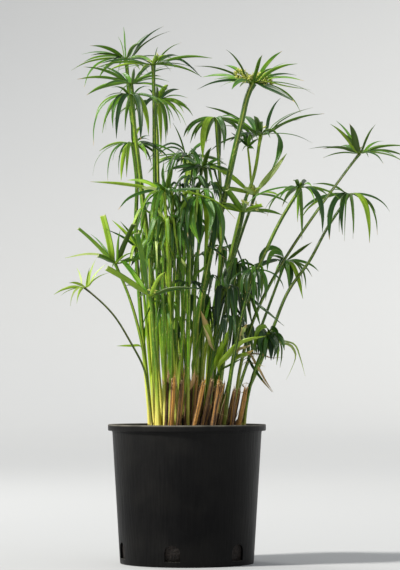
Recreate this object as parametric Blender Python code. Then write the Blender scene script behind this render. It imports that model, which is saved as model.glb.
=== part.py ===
"""A potted umbrella sedge: a clump of three-sided stems, each topped by an umbrella of bracts.

The frame stands at the middle of the pot's base: +X is the viewer's right, +Y is away from the
viewer and +Z is up. Sizes in this file are millimetres, and the meshes are in metres.
"""
import math
from dataclasses import dataclass

import bmesh
import bpy
from mathutils import Vector
from mathutils.bvhtree import BVHTree

MM = 0.001

# Pot
POT_HEIGHT = 175.0
RIM_RADIUS = 100.0
RIM_HEIGHT = 8.0
WALL_TOP_RADIUS = 94.6
BASE_RADIUS = 84.5
WALL = 2.2
FLOOR = 3.0
EDGE = 1.0
POT_SIDES = 48

# Drain holes, arched, low in the pot's wall
HOLE_COUNT = 6
HOLE_WIDTH = 20.0
HOLE_BOTTOM = 7.0
HOLE_TOP = 27.5
HOLE_FIRST_DEG = -12.0
HOLE_ARCH_STEPS = 8

# Soil
SOIL_BELOW_RIM = 15.0
SOIL_SIDES = 36
GAP = 0.4

# Stems
STEM_STEP = 48.0
STEM_TAPER = 0.72
STEM_SIDES = 3
STEM_BOWS = (0, 5, -5, 10, -10, 15, -15, 21, -21, 28, -28, 36, -36)

# Whorls
HUB_RADIUS = 4.0
HUB_HEIGHT = 3.6
KEEL = 0.26
BRACT_RINGS = (0.34, 0.72)
DROOPING_RINGS = (0.24, 0.5, 0.78)
DROOPING = 0.35
ARCH = 0.15
MARGIN = 0.9
DEPTH_TRIES = (1, 0.8, 1.15, 0.6, 0.4, 0.2, 0, -0.3, -0.6, -0.9, -1.2)
SHORTER_TRIES = (1, 0.85, 0.7, 0.55, 0.4)

# The front view's eye, from which the outlines below were measured
EYE = Vector((16.5, -3000.0, 222.0))


@dataclass
class Shoot:
    """One stem with its whorl. Places are (right, up) as seen from the front, over the pot's base.

    foot is the stem's place on the soil (right, back), and depth is how far back the hub stands.
    bracts holds (right, up, width) of each tip that shows, from the hub. fill is how many more
    bracts close the gaps round the whorl, and rise is their tips' height as a share of reach.
    """
    foot: tuple
    bends: list
    hub: tuple
    depth: float
    width: float
    reach: float
    bracts: list
    fill: int = 0
    rise: float = -0.2


SHOOTS = [
    Shoot(foot=(-19, 20), bends=[(-33, 294), (-52, 409), (-61, 498), (-72, 574)], hub=(-78, 640),
          depth=40, width=5.6, reach=72,
          bracts=[(-46, 17, 7), (-57, 6, 4.5), (-54, -4, 4.5), (-3, 41, 2.6), (17, 20, 5), (48, 42, 4.5),
                  (57, 36, 4.5), (73, -3, 4.5), (-10, -18, 4), (18, -14, 5), (-53, -36, 5), (-35, -25, 5)],
          fill=2),
    Shoot(foot=(-29, 6), bends=[(-41, 294), (-50, 409), (-58, 485), (-66, 548)], hub=(-71, 608),
          depth=-14, width=5.6, reach=70,
          bracts=[(-61, 22, 5), (-44, 23, 5), (-69, 6, 5), (-13, 13, 7), (4, 20, 5), (27, 24, 5), (38, 10, 5),
                  (52, 20, 4), (48, 3, 5), (-48, -10, 2.6)],
          fill=3),
    Shoot(foot=(-33, -12), bends=[(-46, 294), (-47, 383), (-56, 460), (-64, 523)], hub=(-71, 593),
          depth=-74, width=5.6, reach=80,
          bracts=[(-48, -64, 5), (-37, -48, 5), (-19, -55, 7), (-8, -45, 5), (-27, 10, 4), (22, -51, 8),
                  (12, -57, 8), (26, 11, 2.6), (34, -12, 3)],
          fill=3, rise=-0.5),
    Shoot(foot=(-11, -26), bends=[(-25, 294), (-38, 409), (-41, 485), (-42, 587)], hub=(-43, 632),
          depth=-54, width=6.4, reach=78,
          bracts=[(36, 29, 2.6), (-60, -8, 4.5), (75, 9, 4.5), (62, -15, 4), (28, -3, 6), (23, -8, 5),
                  (6, 11, 6), (32, 12, 5)],
          fill=4, rise=-0.05),
    Shoot(foot=(-4, 6), bends=[(-17, 294), (-32, 409), (-37, 485)], hub=(-38, 587),
          depth=20, width=5.4, reach=66,
          bracts=[(14, 20, 7), (28, 14, 5), (39, 3, 5), (38, -7, 4.5), (34, -16, 5), (30, -29, 2.6),
                  (17, -36, 4), (13, -45, 7), (0, 18, 5), (5, -62, 7), (-18, -15, 5)],
          fill=2, rise=-0.4),
    Shoot(foot=(-44, -6), bends=[(-57, 294), (-61, 345), (-65, 409), (-64, 498)], hub=(-69, 532),
          depth=-40, width=6.4, reach=66,
          bracts=[(-51, -41, 2.6), (-43, -10, 4.5), (-32, -48, 2.6), (-15, -48, 7), (-8, -43, 5),
                  (24, -28, 5), (18, -21, 5), (13, 23, 4), (-3, 29, 2.6), (22, 4, 3)],
          fill=3, rise=-0.35),
    Shoot(foot=(7, -24), bends=[(14, 294), (24, 364), (33, 409), (47, 460), (55, 498), (67, 548), (75, 587)],
          hub=(84, 609), depth=-34, width=7.2, reach=80,
          bracts=[(-34, 43, 2.6), (-36, 23, 4.5), (-75, 22, 5), (-64, 8, 4.5), (-71, -8, 7), (-43, -5, 2.6),
                  (-27, -8, 8), (-17, -5, 7), (12, 36, 4.5), (37, 41, 5), (57, 25, 5), (56, 10, 4.5),
                  (65, 3, 4.5), (29, 10, 7), (29, 19, 3), (74, -10, 7), (53, -24, 9), (61, -38, 2.6)],
          fill=1),
    Shoot(foot=(23, 36), bends=[(30, 294), (39, 345), (42, 396), (44, 428), (41, 498)], hub=(37, 564),
          depth=34, width=5.2, reach=64,
          bracts=[(-38, -23, 4.5), (-33, -32, 5), (-17, -53, 8), (6, -52, 9), (10, -41, 7), (34, -28, 5),
                  (31, -3, 4)],
          fill=4, rise=-0.5),
    Shoot(foot=(17, 18), bends=[(23, 269), (44, 345), (57, 396), (67, 440), (80, 472), (88, 504)],
          hub=(94, 542), depth=47, width=5.2, reach=84,
          bracts=[(-70, 37, 4.5), (-23, 25, 8), (-9, 25, 7), (25, 48, 4.5), (67, 36, 2.6), (81, 28, 4),
                  (66, -10, 2.6), (11, -43, 7), (1, 18, 5), (-17, -12, 5), (12, -3, 5)],
          fill=2),
    Shoot(foot=(56, 8), bends=[(67, 244), (80, 294), (95, 333), (125, 385), (144, 416), (163, 442),
                               (180, 466), (206, 501)],
          hub=(220, 519), depth=0, width=4.2, reach=66,
          bracts=[(-13, 38, 8), (-30, 42, 4), (-38, 38, 5), (-26, 9, 5), (20, 37, 3), (32, 16, 4),
                  (62, 9, 4.5), (57, -3, 5), (60, -14, 6), (11, -5, 4), (30, -13, 2.6)],
          fill=2, rise=0.1),
    Shoot(foot=(26, 3), bends=[(37, 294), (52, 358), (62, 396), (75, 434)], hub=(86, 466),
          depth=54, width=5.4, reach=62,
          bracts=[(39, 51, 8), (-28, 23, 8), (33, -2, 5), (43, -11, 3)],
          fill=6, rise=0.1),
    Shoot(foot=(20, -14), bends=[(32, 269), (45, 333), (56, 381), (65, 415)], hub=(71, 444),
          depth=-20, width=5.6, reach=54,
          bracts=[(-20, 28, 8), (52, -4, 5), (-30, 12, 3), (6, 22, 5)],
          fill=6, rise=0.15),
    Shoot(foot=(45, -12), bends=[(58, 254), (75, 333), (88, 369), (97, 388), (113, 423), (130, 452)],
          hub=(144, 475), depth=-61, width=5.8, reach=72,
          bracts=[(28, -57, 8), (2, -66, 5), (-27, -15, 4.5), (36, -10, 3), (19, -23, 3), (-42, -36, 2.6),
                  (-9, 9, 5), (9, 8, 5), (15, 2, 5)],
          fill=3, rise=-0.3),
    Shoot(foot=(67, 22), bends=[(79, 227), (97, 261), (113, 307), (131, 348), (150, 371), (166, 406),
                                (188, 438)],
          hub=(206, 467), depth=68, width=5.0, reach=76,
          bracts=[(-25, -58, 7), (6, -51, 6), (-6, -60, 2.6), (5, -57, 2.6), (26, -62, 8), (36, -52, 3),
                  (-46, 13, 3)],
          fill=4, rise=-0.4),
    Shoot(foot=(10, -40), bends=[(9, 294), (11, 364), (15, 409)], hub=(14, 463),
          depth=-74, width=4.8, reach=70,
          bracts=[(3, -58, 9), (-18, -40, 5), (29, -57, 6), (15, -64, 6), (-9, -62, 4), (20, -40, 6),
                  (-22, -25, 5)],
          fill=6, rise=-0.7),
    Shoot(foot=(-8, -46), bends=[(-20, 294), (-25, 409)], hub=(-29, 470),
          depth=-101, width=5.0, reach=94,
          bracts=[(-94, 13, 7), (-47, 15, 7), (68, 3, 4.5), (0, 41, 6), (11, 32, 5), (22, 57, 3),
                  (-30, -33, 4), (20, -42, 6), (-12, -40, 5)],
          fill=4, rise=-0.35),
    Shoot(foot=(-46, -24), bends=[(-53, 254), (-62, 298), (-68, 319), (-79, 353)], hub=(-91, 378),
          depth=-61, width=4.6, reach=68,
          bracts=[(-48, 45, 8), (-16, 62, 8), (24, 51, 7), (-31, 38, 2.6), (26, 14, 2.6)],
          fill=4, rise=0.15),
    Shoot(foot=(-42, -38), bends=[(-53, 240), (-66, 269), (-81, 294), (-93, 313), (-107, 329)],
          hub=(-130, 348), depth=-101, width=3.0, reach=40,
          bracts=[(-29, -2, 2.6), (11, 28, 4), (-20, 6, 4), (-10, 25, 2.6), (29, 31, 4), (14, 36, 3),
                  (31, 19, 3), (-10, -20, 4), (-18, -23, 2.6)],
          fill=1),
    Shoot(foot=(-34, -44), bends=[(-39, 245), (-42, 274), (-43, 302)], hub=(-47, 337),
          depth=-108, width=5.0, reach=80,
          bracts=[(-55, 36, 8), (-36, 46, 8), (-17, 81, 8), (-31, 14, 6), (19, 31, 5), (-14, -2, 5)],
          fill=3, rise=0.1),
    Shoot(foot=(33, 22), bends=[(47, 282), (57, 345)], hub=(64, 378),
          depth=3, width=5.0, reach=52,
          bracts=[(-10, -45, 6), (5, -45, 7), (-22, -30, 6), (20, -38, 6), (26, -12, 5)],
          fill=6, rise=-0.5),
    Shoot(foot=(44, -32), bends=[(62, 275), (75, 333)], hub=(85, 371),
          depth=-84, width=5.0, reach=56,
          bracts=[(2, -51, 8), (-16, -42, 6), (16, -46, 6), (28, -24, 5), (-26, -20, 5)],
          fill=6, rise=-0.5),
    Shoot(foot=(52, 30), bends=[(67, 225), (95, 301), (114, 352)], hub=(125, 382),
          depth=68, width=4.6, reach=60,
          bracts=[(34, 24, 4.5), (34, -20, 3), (5, -34, 7), (23, -48, 4), (-24, 4, 5), (-14, -30, 5)],
          fill=4, rise=-0.3),
    Shoot(foot=(71, -6), bends=[(80, 225), (95, 266)], hub=(104, 288),
          depth=-14, width=4.2, reach=58,
          bracts=[(8, -32, 9), (29, -43, 4), (43, -45, 3), (-7, 13, 5), (-14, -30, 6), (24, 8, 4)],
          fill=4, rise=-0.3),
    Shoot(foot=(-2, 32), bends=[(-11, 294), (-8, 409), (-5, 460)], hub=(0, 515),
          depth=81, width=5.2, reach=62,
          bracts=[(-51, -5, 5), (-38, -2, 4.5), (-28, -20, 5), (-49, -19, 4.5), (-18, 43, 2.6), (30, 22, 5)],
          fill=6, rise=-0.2),
    Shoot(foot=(3, -8), bends=[(1, 294), (6, 409), (11, 447)], hub=(19, 500),
          depth=0, width=5.2, reach=50,
          bracts=[(30, -11, 6), (-26, 14, 6), (-30, -12, 6), (-14, 26, 6), (12, 27, 6), (28, 12, 5)],
          fill=8, rise=-0.1),
]

# Cut stubs: foot on the soil (right, back), top (right, up) and width
STUBS = [
    ((-27, -58), (-24, 237), 4.5),
    ((-21, -69), (-17, 235), 6.5),
    ((-12, -60), (-6, 231), 7.0),
    ((6, -63), (22, 232), 6.5),
    ((16, -54), (32, 233), 6.5),
    ((30, -60), (42, 232), 7.5),
    ((54, -50), (60, 221), 5.5),
    ((61, -36), (75, 223), 7.0),
]

# Colour, roughness and metallic value of each kind of piece
LOOKS = {
    "pot": ((0.018, 0.018, 0.019), 0.5, 0.0),
    "soil": ((0.05, 0.035, 0.025), 0.95, 0.0),
    "stem": ((0.16, 0.30, 0.05), 0.5, 0.0),
    "whorl": ((0.10, 0.26, 0.05), 0.5, 0.0),
    "stub": ((0.30, 0.20, 0.12), 0.8, 0.0),
}


def clear_scene():
    """Remove every object of the open file."""
    for old in list(bpy.data.objects):
        bpy.data.objects.remove(old, do_unlink=True)


def make_material(name, look):
    """A plain Principled material."""
    colour, roughness, metallic = look
    material = bpy.data.materials.new(name)
    material.use_nodes = True
    shader = material.node_tree.nodes["Principled BSDF"]
    shader.inputs["Base Color"].default_value = (*colour, 1.0)
    shader.inputs["Roughness"].default_value = roughness
    shader.inputs["Metallic"].default_value = metallic
    return material


def add_object(name, points, faces, look):
    """One object in metres from points in millimetres, with its faces pointing out."""
    mesh = bpy.data.meshes.new(name)
    mesh.from_pydata([tuple(Vector(point) * MM) for point in points], [], faces)
    shape = bmesh.new()
    shape.from_mesh(mesh)
    bmesh.ops.recalc_face_normals(shape, faces=shape.faces)
    shape.to_mesh(mesh)
    shape.free()
    mesh.materials.append(make_material(name, look))
    piece = bpy.data.objects.new(name, mesh)
    bpy.context.scene.collection.objects.link(piece)
    return piece


def turned(profile, sides):
    """Points and faces of a profile of (radius, height) turned about the Z axis; its ends lie on it."""
    points = [(0, 0, profile[0][1]), (0, 0, profile[-1][1])]
    rows = []
    for radius, height in profile[1:-1]:
        rows.append(range(len(points), len(points) + sides))
        for step in range(sides):
            angle = math.tau * step / sides
            points.append((radius * math.cos(angle), radius * math.sin(angle), height))
    faces = []
    for step in range(sides):
        after = (step + 1) % sides
        faces.append((0, rows[0][after], rows[0][step]))
        faces.append((1, rows[-1][step], rows[-1][after]))
        for low, high in zip(rows, rows[1:]):
            faces.append((low[step], low[after], high[after], high[step]))
    return points, faces


def inner_radius(height):
    """The pot's inner radius at a height on its wall."""
    share = (height - FLOOR) / (POT_HEIGHT - RIM_HEIGHT - FLOOR)
    return BASE_RADIUS + (WALL_TOP_RADIUS - BASE_RADIUS) * share - WALL


def hole_cutter(angle):
    """An arched prism that crosses the pot's wall at an angle from the front."""
    half = HOLE_WIDTH / 2
    spring = HOLE_TOP - half
    outline = [(-half, HOLE_BOTTOM), (half, HOLE_BOTTOM)]
    for step in range(HOLE_ARCH_STEPS + 1):
        turn = math.pi * step / HOLE_ARCH_STEPS
        outline.append((half * math.cos(turn), spring + half * math.sin(turn)))
    outward = Vector((math.sin(angle), -math.cos(angle), 0))
    across = Vector((math.cos(angle), math.sin(angle), 0))
    points = []
    for radius in (BASE_RADIUS - 4 * WALL, WALL_TOP_RADIUS):
        points += [outward * radius + across * x + Vector((0, 0, z)) for x, z in outline]
    count = len(outline)
    faces = [tuple(range(count)), tuple(range(count, 2 * count))]
    for step in range(count):
        after = (step + 1) % count
        faces.append((step, after, count + after, count + step))
    cutter = add_object("hole_cutter", points, faces, LOOKS["pot"])
    cutter.hide_render = True
    cutter.display_type = "WIRE"
    return cutter


def make_pot():
    """The pot: a turned wall, a turned-out rim with a ledge inside it, and arched drain holes."""
    ledge = POT_HEIGHT - RIM_HEIGHT
    lip = RIM_RADIUS - 1.5 * WALL
    profile = [
        (0, 0),
        (BASE_RADIUS - EDGE, 0),
        (BASE_RADIUS, EDGE),
        (WALL_TOP_RADIUS, ledge),
        (RIM_RADIUS - EDGE, ledge),
        (RIM_RADIUS, ledge + EDGE),
        (RIM_RADIUS, POT_HEIGHT - EDGE),
        (RIM_RADIUS - EDGE, POT_HEIGHT),
        (lip, POT_HEIGHT),
        (lip - EDGE / 2, ledge + WALL),
        (WALL_TOP_RADIUS - WALL, ledge + WALL - EDGE),
        (inner_radius(FLOOR), FLOOR),
        (0, FLOOR),
    ]
    pot = add_object("pot", *turned(profile, POT_SIDES), LOOKS["pot"])
    for number in range(HOLE_COUNT):
        angle = math.radians(HOLE_FIRST_DEG + 360 * number / HOLE_COUNT)
        cut = pot.modifiers.new(f"drain_hole_{number + 1}", "BOOLEAN")
        cut.operation = "DIFFERENCE"
        cut.solver = "EXACT"
        cut.object = hole_cutter(angle)
    return pot


def make_soil():
    """The soil: it fills the pot from its floor to below its rim, with a flat top."""
    top = POT_HEIGHT - SOIL_BELOW_RIM
    bottom = FLOOR + GAP
    round_gap = GAP + inner_radius(top) * (1 - math.cos(math.pi / SOIL_SIDES))
    profile = [
        (0, bottom),
        (inner_radius(bottom) - round_gap, bottom),
        (inner_radius(top) - round_gap, top),
        (0, top),
    ]
    return add_object("potting_soil", *turned(profile, SOIL_SIDES), LOOKS["soil"])


def seen(right, up, depth):
    """The place at a depth that shows at (right, up) from the eye, both measured over the pot's middle."""
    flat = Vector((right, 0, up))
    share = (depth - EYE.y) / -EYE.y
    return EYE + (flat - EYE) * share


def path_point(points, lengths, distance):
    """A point on the smooth curve through the points, at a distance along their chords."""
    last = len(points) - 1
    index = 0
    while index < last - 1 and distance > lengths[index + 1]:
        index += 1
    span = lengths[index + 1] - lengths[index]
    slopes = []
    for corner in (index, index + 1):
        before = max(corner - 1, 0)
        after = min(corner + 1, last)
        slopes.append((points[after] - points[before]) / (lengths[after] - lengths[before]) * span)
    t = (distance - lengths[index]) / span
    return (points[index] * (2 * t ** 3 - 3 * t ** 2 + 1) + slopes[0] * (t ** 3 - 2 * t ** 2 + t)
            + points[index + 1] * (3 * t ** 2 - 2 * t ** 3) + slopes[1] * (t ** 3 - t ** 2))


def smooth_path(points, step):
    """Points about a step apart on the smooth curve through the given ones."""
    lengths = [0.0]
    for before, after in zip(points, points[1:]):
        lengths.append(lengths[-1] + (after - before).length)
    count = max(2, round(lengths[-1] / step))
    return [path_point(points, lengths, lengths[-1] * number / count) for number in range(count + 1)]


def tube(path, widths):
    """The rings of a three-sided tube along a path, one width for each point, with level ends."""
    rings = []
    for number, centre in enumerate(path):
        if 0 < number < len(path) - 1:
            along = (path[number + 1] - path[number - 1]).normalized()
        else:
            along = Vector((0, 0, 1))
        side = along.cross(Vector((0, 1, 0))).normalized()
        front = side.cross(along)
        radius = widths[number] / math.sqrt(3)
        ring = []
        for corner in range(STEM_SIDES):
            angle = math.tau * corner / STEM_SIDES - math.pi / 2
            ring.append(centre + side * radius * math.cos(angle) + front * radius * math.sin(angle))
        rings.append(ring)
    return rings


def tube_faces(rings):
    """Faces between rings of three points, with both ends closed."""
    faces = [(0, 1, 2)]
    for number in range(len(rings) - 1):
        low = number * STEM_SIDES
        high = low + STEM_SIDES
        for corner in range(STEM_SIDES):
            after = (corner + 1) % STEM_SIDES
            faces.append((low + corner, low + after, high + after))
            faces.append((low + corner, high + after, high + corner))
    last = (len(rings) - 1) * STEM_SIDES
    faces.append((last, last + 1, last + 2))
    return faces


def tree_of(rings):
    """A search tree of a tube's faces."""
    points = [point for ring in rings for point in ring]
    return BVHTree.FromPolygons(points, tube_faces(rings))


def is_clear(tree, placed):
    """Whether a tree crosses none of the placed ones."""
    return not any(tree.overlap(other) for other in placed)


def stem_path(shoot, bow):
    """The stem's path from the soil to below its hub, bowed back by an amount at its middle."""
    soil_top = POT_HEIGHT - SOIL_BELOW_RIM + GAP
    hub = seen(*shoot.hub, shoot.depth)
    points = [Vector((shoot.foot[0], shoot.foot[1], soil_top))]
    for right, up in shoot.bends:
        share = (up - soil_top) / (hub.z - soil_top)
        eased = share * share * (3 - 2 * share)
        depth = shoot.foot[1] + (shoot.depth - shoot.foot[1]) * eased + bow * 4 * share * (1 - share)
        points.append(seen(right, up, depth))
    towards = (hub - points[-1]).normalized()
    points.append(hub - towards * (HUB_HEIGHT / 2 + GAP) / towards.z)
    return smooth_path(points, STEM_STEP)


def grow_stem(shoot, placed):
    """The rings of a stem that stands clear of those already placed."""
    for bow in STEM_BOWS:
        path = stem_path(shoot, bow)
        widths = [shoot.width * (1 + (STEM_TAPER - 1) * number / (len(path) - 1)) for number in range(len(path))]
        if is_clear(tree_of(tube(path, [width + MARGIN for width in widths])), placed):
            return tube(path, widths)
    raise ValueError(f"no clear path for the stem at {shoot.hub}")


def droop_of(hub, tip):
    """How far a bract droops, from 0 for level or rising to 1 for straight down."""
    reach = tip - hub
    return min(max(-reach.z / reach.length, 0), 1)


def bract_path(root, hub, tip, shares):
    """Points at shares of a bract that leaves its root, arches over and ends at its tip."""
    reach = tip - hub
    flat = Vector((reach.x, reach.y, 0))
    droop = droop_of(hub, tip)
    crest = hub + flat * (0.5 + 0.7 * droop)
    crest.z += 0.5 * reach.z * (1 - droop) + ARCH * reach.length * (1 - 0.6 * droop)
    return [root * (1 - t) ** 2 + crest * 2 * t * (1 - t) + tip * t * t for t in shares]


def bract_rings(root, hub, tip, width):
    """The rings of a bract between its root and its tip: two edges and a keel below."""
    flat = Vector((tip.x - hub.x, tip.y - hub.y, 0)).normalized()
    side = Vector((0, 0, 1)).cross(flat)
    rings = []
    for share in DROOPING_RINGS if droop_of(hub, tip) > DROOPING else BRACT_RINGS:
        before, centre, after = bract_path(root, hub, tip, (share - 0.05, share, share + 0.05))
        along = (after - before).normalized()
        above = along.cross(side)
        half = width * (1 if share < 0.5 else 0.8) / 2
        rings.append([centre + side * half, centre - side * half, centre - above * (KEEL * width + 0.5)])
    return rings


def bract_tree(hub, tip, width):
    """A search tree of a bract that is a little wider than the real one."""
    towards = Vector((tip.x - hub.x, tip.y - hub.y, 0)).normalized()
    root = hub + towards * HUB_RADIUS
    side = Vector((0, 0, 1)).cross(towards)
    base = [root + side, root - side, root - Vector((0, 0, 2))]
    end = [tip + side * 0.3, tip - side * 0.3, tip - Vector((0, 0, 0.3))]
    return tree_of([base] + bract_rings(root, hub, tip, width + MARGIN) + [end])


def open_tip(shoot, right, up, width, side, placed):
    """A bract's tip that shows at (right, up) from the hub and keeps the bract clear of its neighbours."""
    hub = seen(*shoot.hub, shoot.depth)
    for shorter in SHORTER_TRIES:
        flat = math.hypot(right, up) * shorter
        length = max(shoot.reach * shorter, flat)
        depth = side * 0.8 * math.sqrt(length * length - flat * flat)
        for share in DEPTH_TRIES:
            back = share * depth
            tip = seen(shoot.hub[0] + right * shorter, shoot.hub[1] + up * shorter, shoot.depth + back)
            if math.hypot(tip.x - hub.x, tip.y - hub.y) < HUB_RADIUS:
                continue
            if is_clear(bract_tree(hub, tip, width), placed):
                return tip
    return None


def azimuth(hub, tip):
    """The direction of a tip round its hub."""
    return math.atan2(tip.y - hub.y, tip.x - hub.x) % math.tau


def fill_tips(shoot, tips, placed):
    """More bracts, one at a time, in the widest gap round the whorl."""
    hub = seen(*shoot.hub, shoot.depth)
    for number in range(shoot.fill):
        angles = sorted(azimuth(hub, tip) for tip, width in tips)
        gaps = [(after - before, before) for before, after in zip(angles, angles[1:] + [angles[0] + math.tau])]
        gap, start = max(gaps)
        length = shoot.reach * (0.86 + 0.14 * math.cos(2.4 * number))
        for turn in (0.5, 0.4, 0.6, 0.3, 0.7, 0.2, 0.8):
            angle = start + gap * turn
            rise = shoot.rise * length
            flat = math.sqrt(length * length - rise * rise)
            tip = hub + Vector((flat * math.cos(angle), flat * math.sin(angle), rise))
            width = 5.5 - 1.5 * math.cos(1.7 * number)
            if is_clear(bract_tree(hub, tip, width), placed):
                tips.append((tip, width))
                break


def whorl_shape(hub, tips):
    """Points and faces of a whorl: each bract grows out of its own face of the hub."""
    tips = sorted(tips, key=lambda entry: azimuth(hub, entry[0]))
    count = len(tips)
    angles = [azimuth(hub, tip) for tip, width in tips]
    offset = sum(angle - math.tau * number / count for number, angle in enumerate(angles)) / count
    slots = [(angle + offset + math.tau * number / count) / 2 for number, angle in enumerate(angles)]
    radius = max(HUB_RADIUS, count * 0.36)
    points = []
    for number, slot in enumerate(slots):
        before = slots[number - 1] - (math.tau if number == 0 else 0)
        middle = (slot + before) / 2
        points.append(hub + Vector((radius * math.cos(middle), radius * math.sin(middle), HUB_HEIGHT / 2)))
    for slot in slots:
        low = radius * 0.9
        points.append(hub + Vector((low * math.cos(slot), low * math.sin(slot), -HUB_HEIGHT / 2)))
    points.append(hub + Vector((0, 0, HUB_HEIGHT * 0.7)))
    points.append(hub - Vector((0, 0, HUB_HEIGHT / 2)))
    faces = []
    for number, (tip, width) in enumerate(tips):
        after = (number + 1) % count
        keel = count + number
        faces.append((number, after, 2 * count))
        faces.append((keel, count + after, 2 * count + 1))
        faces.append((keel, count + after, after))
        root = (points[after] + points[number] + points[keel]) / 3
        ring = (after, number, keel)
        for corners in bract_rings(root, hub, tip, width):
            start = len(points)
            points += corners
            upper = (start, start + 1, start + 2)
            for corner in range(3):
                beside = (corner + 1) % 3
                faces.append((ring[corner], ring[beside], upper[beside]))
                faces.append((ring[corner], upper[beside], upper[corner]))
            ring = upper
        points.append(tip)
        for corner in range(3):
            faces.append((ring[corner], ring[(corner + 1) % 3], len(points) - 1))
    return points, faces


def grow_whorl(shoot, placed):
    """Points and faces of a shoot's whorl, clear of the pieces already placed."""
    hub = seen(*shoot.hub, shoot.depth)
    tips = []
    side = -1
    for right, up, width in shoot.bracts:
        tip = open_tip(shoot, right, up, width, side, placed)
        if tip is not None:
            tips.append((tip, width))
            side = -side
    fill_tips(shoot, tips, placed)
    return whorl_shape(hub, tips)


def make_stubs(placed):
    """The dry stubs of cut stems, each a short three-sided tube."""
    soil_top = POT_HEIGHT - SOIL_BELOW_RIM + GAP
    for number, (foot, top, width) in enumerate(STUBS, 1):
        start = Vector((foot[0], foot[1], soil_top))
        end = seen(*top, foot[1] - 2)
        middle = start.lerp(end, 0.5) + Vector((0.6, 0, 0))
        rings = tube([start, middle, end], [width * 1.1, width, width * 0.92])
        placed.append(tree_of(rings))
        points = [point for ring in rings for point in ring]
        add_object(f"cut_stub_{number}", points, tube_faces(rings), LOOKS["stub"])


def main():
    clear_scene()
    make_pot()
    make_soil()
    placed = []
    make_stubs(placed)
    for number, shoot in enumerate(SHOOTS, 1):
        rings = grow_stem(shoot, placed)
        placed.append(tree_of(rings))
        points = [point for ring in rings for point in ring]
        add_object(f"stem_{number:02d}", points, tube_faces(rings), LOOKS["stem"])
    for number, shoot in enumerate(SHOOTS, 1):
        points, faces = grow_whorl(shoot, placed)
        placed.append(BVHTree.FromPolygons(points, faces))
        add_object(f"leaf_whorl_{number:02d}", points, faces, LOOKS["whorl"])


main()
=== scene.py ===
"""Potted umbrella sedge: its stems, leaf whorls, flowers, dry stubs, soil and pot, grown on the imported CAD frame."""
import math
import random
from dataclasses import dataclass, field

import bmesh
import bpy
import numpy as np
from bpy.props import FloatProperty, FloatVectorProperty, IntProperty, PointerProperty
from mathutils import Matrix, Vector


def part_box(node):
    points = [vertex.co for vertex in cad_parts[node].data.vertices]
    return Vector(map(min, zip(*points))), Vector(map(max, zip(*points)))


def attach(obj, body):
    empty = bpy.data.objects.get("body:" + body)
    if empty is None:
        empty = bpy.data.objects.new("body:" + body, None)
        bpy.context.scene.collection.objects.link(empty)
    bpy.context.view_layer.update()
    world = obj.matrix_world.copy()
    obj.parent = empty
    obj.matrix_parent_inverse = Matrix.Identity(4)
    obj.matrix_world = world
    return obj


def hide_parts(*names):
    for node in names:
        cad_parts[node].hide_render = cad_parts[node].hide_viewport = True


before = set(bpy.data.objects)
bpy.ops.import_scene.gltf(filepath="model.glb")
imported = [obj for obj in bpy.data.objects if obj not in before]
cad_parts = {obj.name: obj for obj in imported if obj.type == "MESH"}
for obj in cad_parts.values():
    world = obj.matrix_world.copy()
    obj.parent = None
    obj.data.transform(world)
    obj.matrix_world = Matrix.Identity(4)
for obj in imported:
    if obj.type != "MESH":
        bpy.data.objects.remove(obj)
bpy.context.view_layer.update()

bl_info = {
    "name": "Potted umbrella sedge",
    "version": (1, 0, 0),
    "blender": (4, 5, 0),
    "location": "3D View > Sidebar > Sedge",
    "description": "Makes a clump of umbrella sedge in a nursery pot",
    "category": "Object",
}

SHOOTS = range(1, 26)
STUBS = range(1, 9)
POT_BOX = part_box("pot")
SOIL_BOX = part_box("potting_soil")

# The photo's place in the frame: its pixels at the pot's axis, and the eye it was seen from
PIXEL = 0.00127
AXIS_PX = 187.0
RIM_PX = 424.0
EYE = Vector((0.0165, -3.0, 0.222))
AIM = Vector((0.0165, 0.0, 0.3515))
FRAME_WIDTH = 0.508

SENSOR = 36.0


def paint(code):
    """A web colour code as linear red, green and blue."""
    parts = [int(code[k:k + 2], 16) / 255 for k in (0, 2, 4)]
    return tuple(((p + 0.055) / 1.055) ** 2.4 if p > 0.04045 else p / 12.92 for p in parts)


def colour_property(name, description, code):
    """A colour that a user may change."""
    return FloatVectorProperty(
        name=name, description=description, default=paint(code), size=3, min=0, max=1, subtype="COLOR"
    )


# Settings


class SedgePotSettings(bpy.types.PropertyGroup):
    """Sizes and colours of the nursery pot."""

    rim_radius: FloatProperty(
        name="Rim radius", description="Radius of the turned-out rim", default=POT_BOX[1].x, unit="LENGTH"
    )
    height: FloatProperty(
        name="Height", description="Height of the pot", default=POT_BOX[1].z, unit="LENGTH"
    )
    wall_top_radius: FloatProperty(
        name="Wall radius at the top", description="Radius of the wall under the rim", default=0.0946, unit="LENGTH"
    )
    base_radius: FloatProperty(
        name="Base radius", description="Radius of the pot's base", default=0.0845, unit="LENGTH"
    )
    rim_height: FloatProperty(
        name="Rim height", description="Height of the rim's band", default=0.008, unit="LENGTH"
    )
    wall: FloatProperty(name="Wall", description="Thickness of the wall", default=0.0022, unit="LENGTH")
    plastic: colour_property("Plastic", "Colour of the black plastic", "050506")
    # Dust is also the colour of the painted highlight on the rim's top edge.
    dust: colour_property("Dust", "Colour of the dust on the rim", "8f8b80")


class SedgeSoilSettings(bpy.types.PropertyGroup):
    """Sizes and colours of the potting soil and its bark."""

    lumps: FloatProperty(
        name="Lumps", description="Height of the soil's lumps", default=0.0022, unit="LENGTH"
    )
    chip_length: FloatProperty(
        name="Chip length", description="Length of a bark chip", default=0.011, unit="LENGTH"
    )
    chip_density: FloatProperty(
        name="Chips", description="Bark chips in each square metre", default=16000.0, min=0
    )
    soil: colour_property("Soil", "Colour of the damp soil", "2b211a")
    bark: colour_property("Bark", "Colour of the bark chips", "6b4630")


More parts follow.
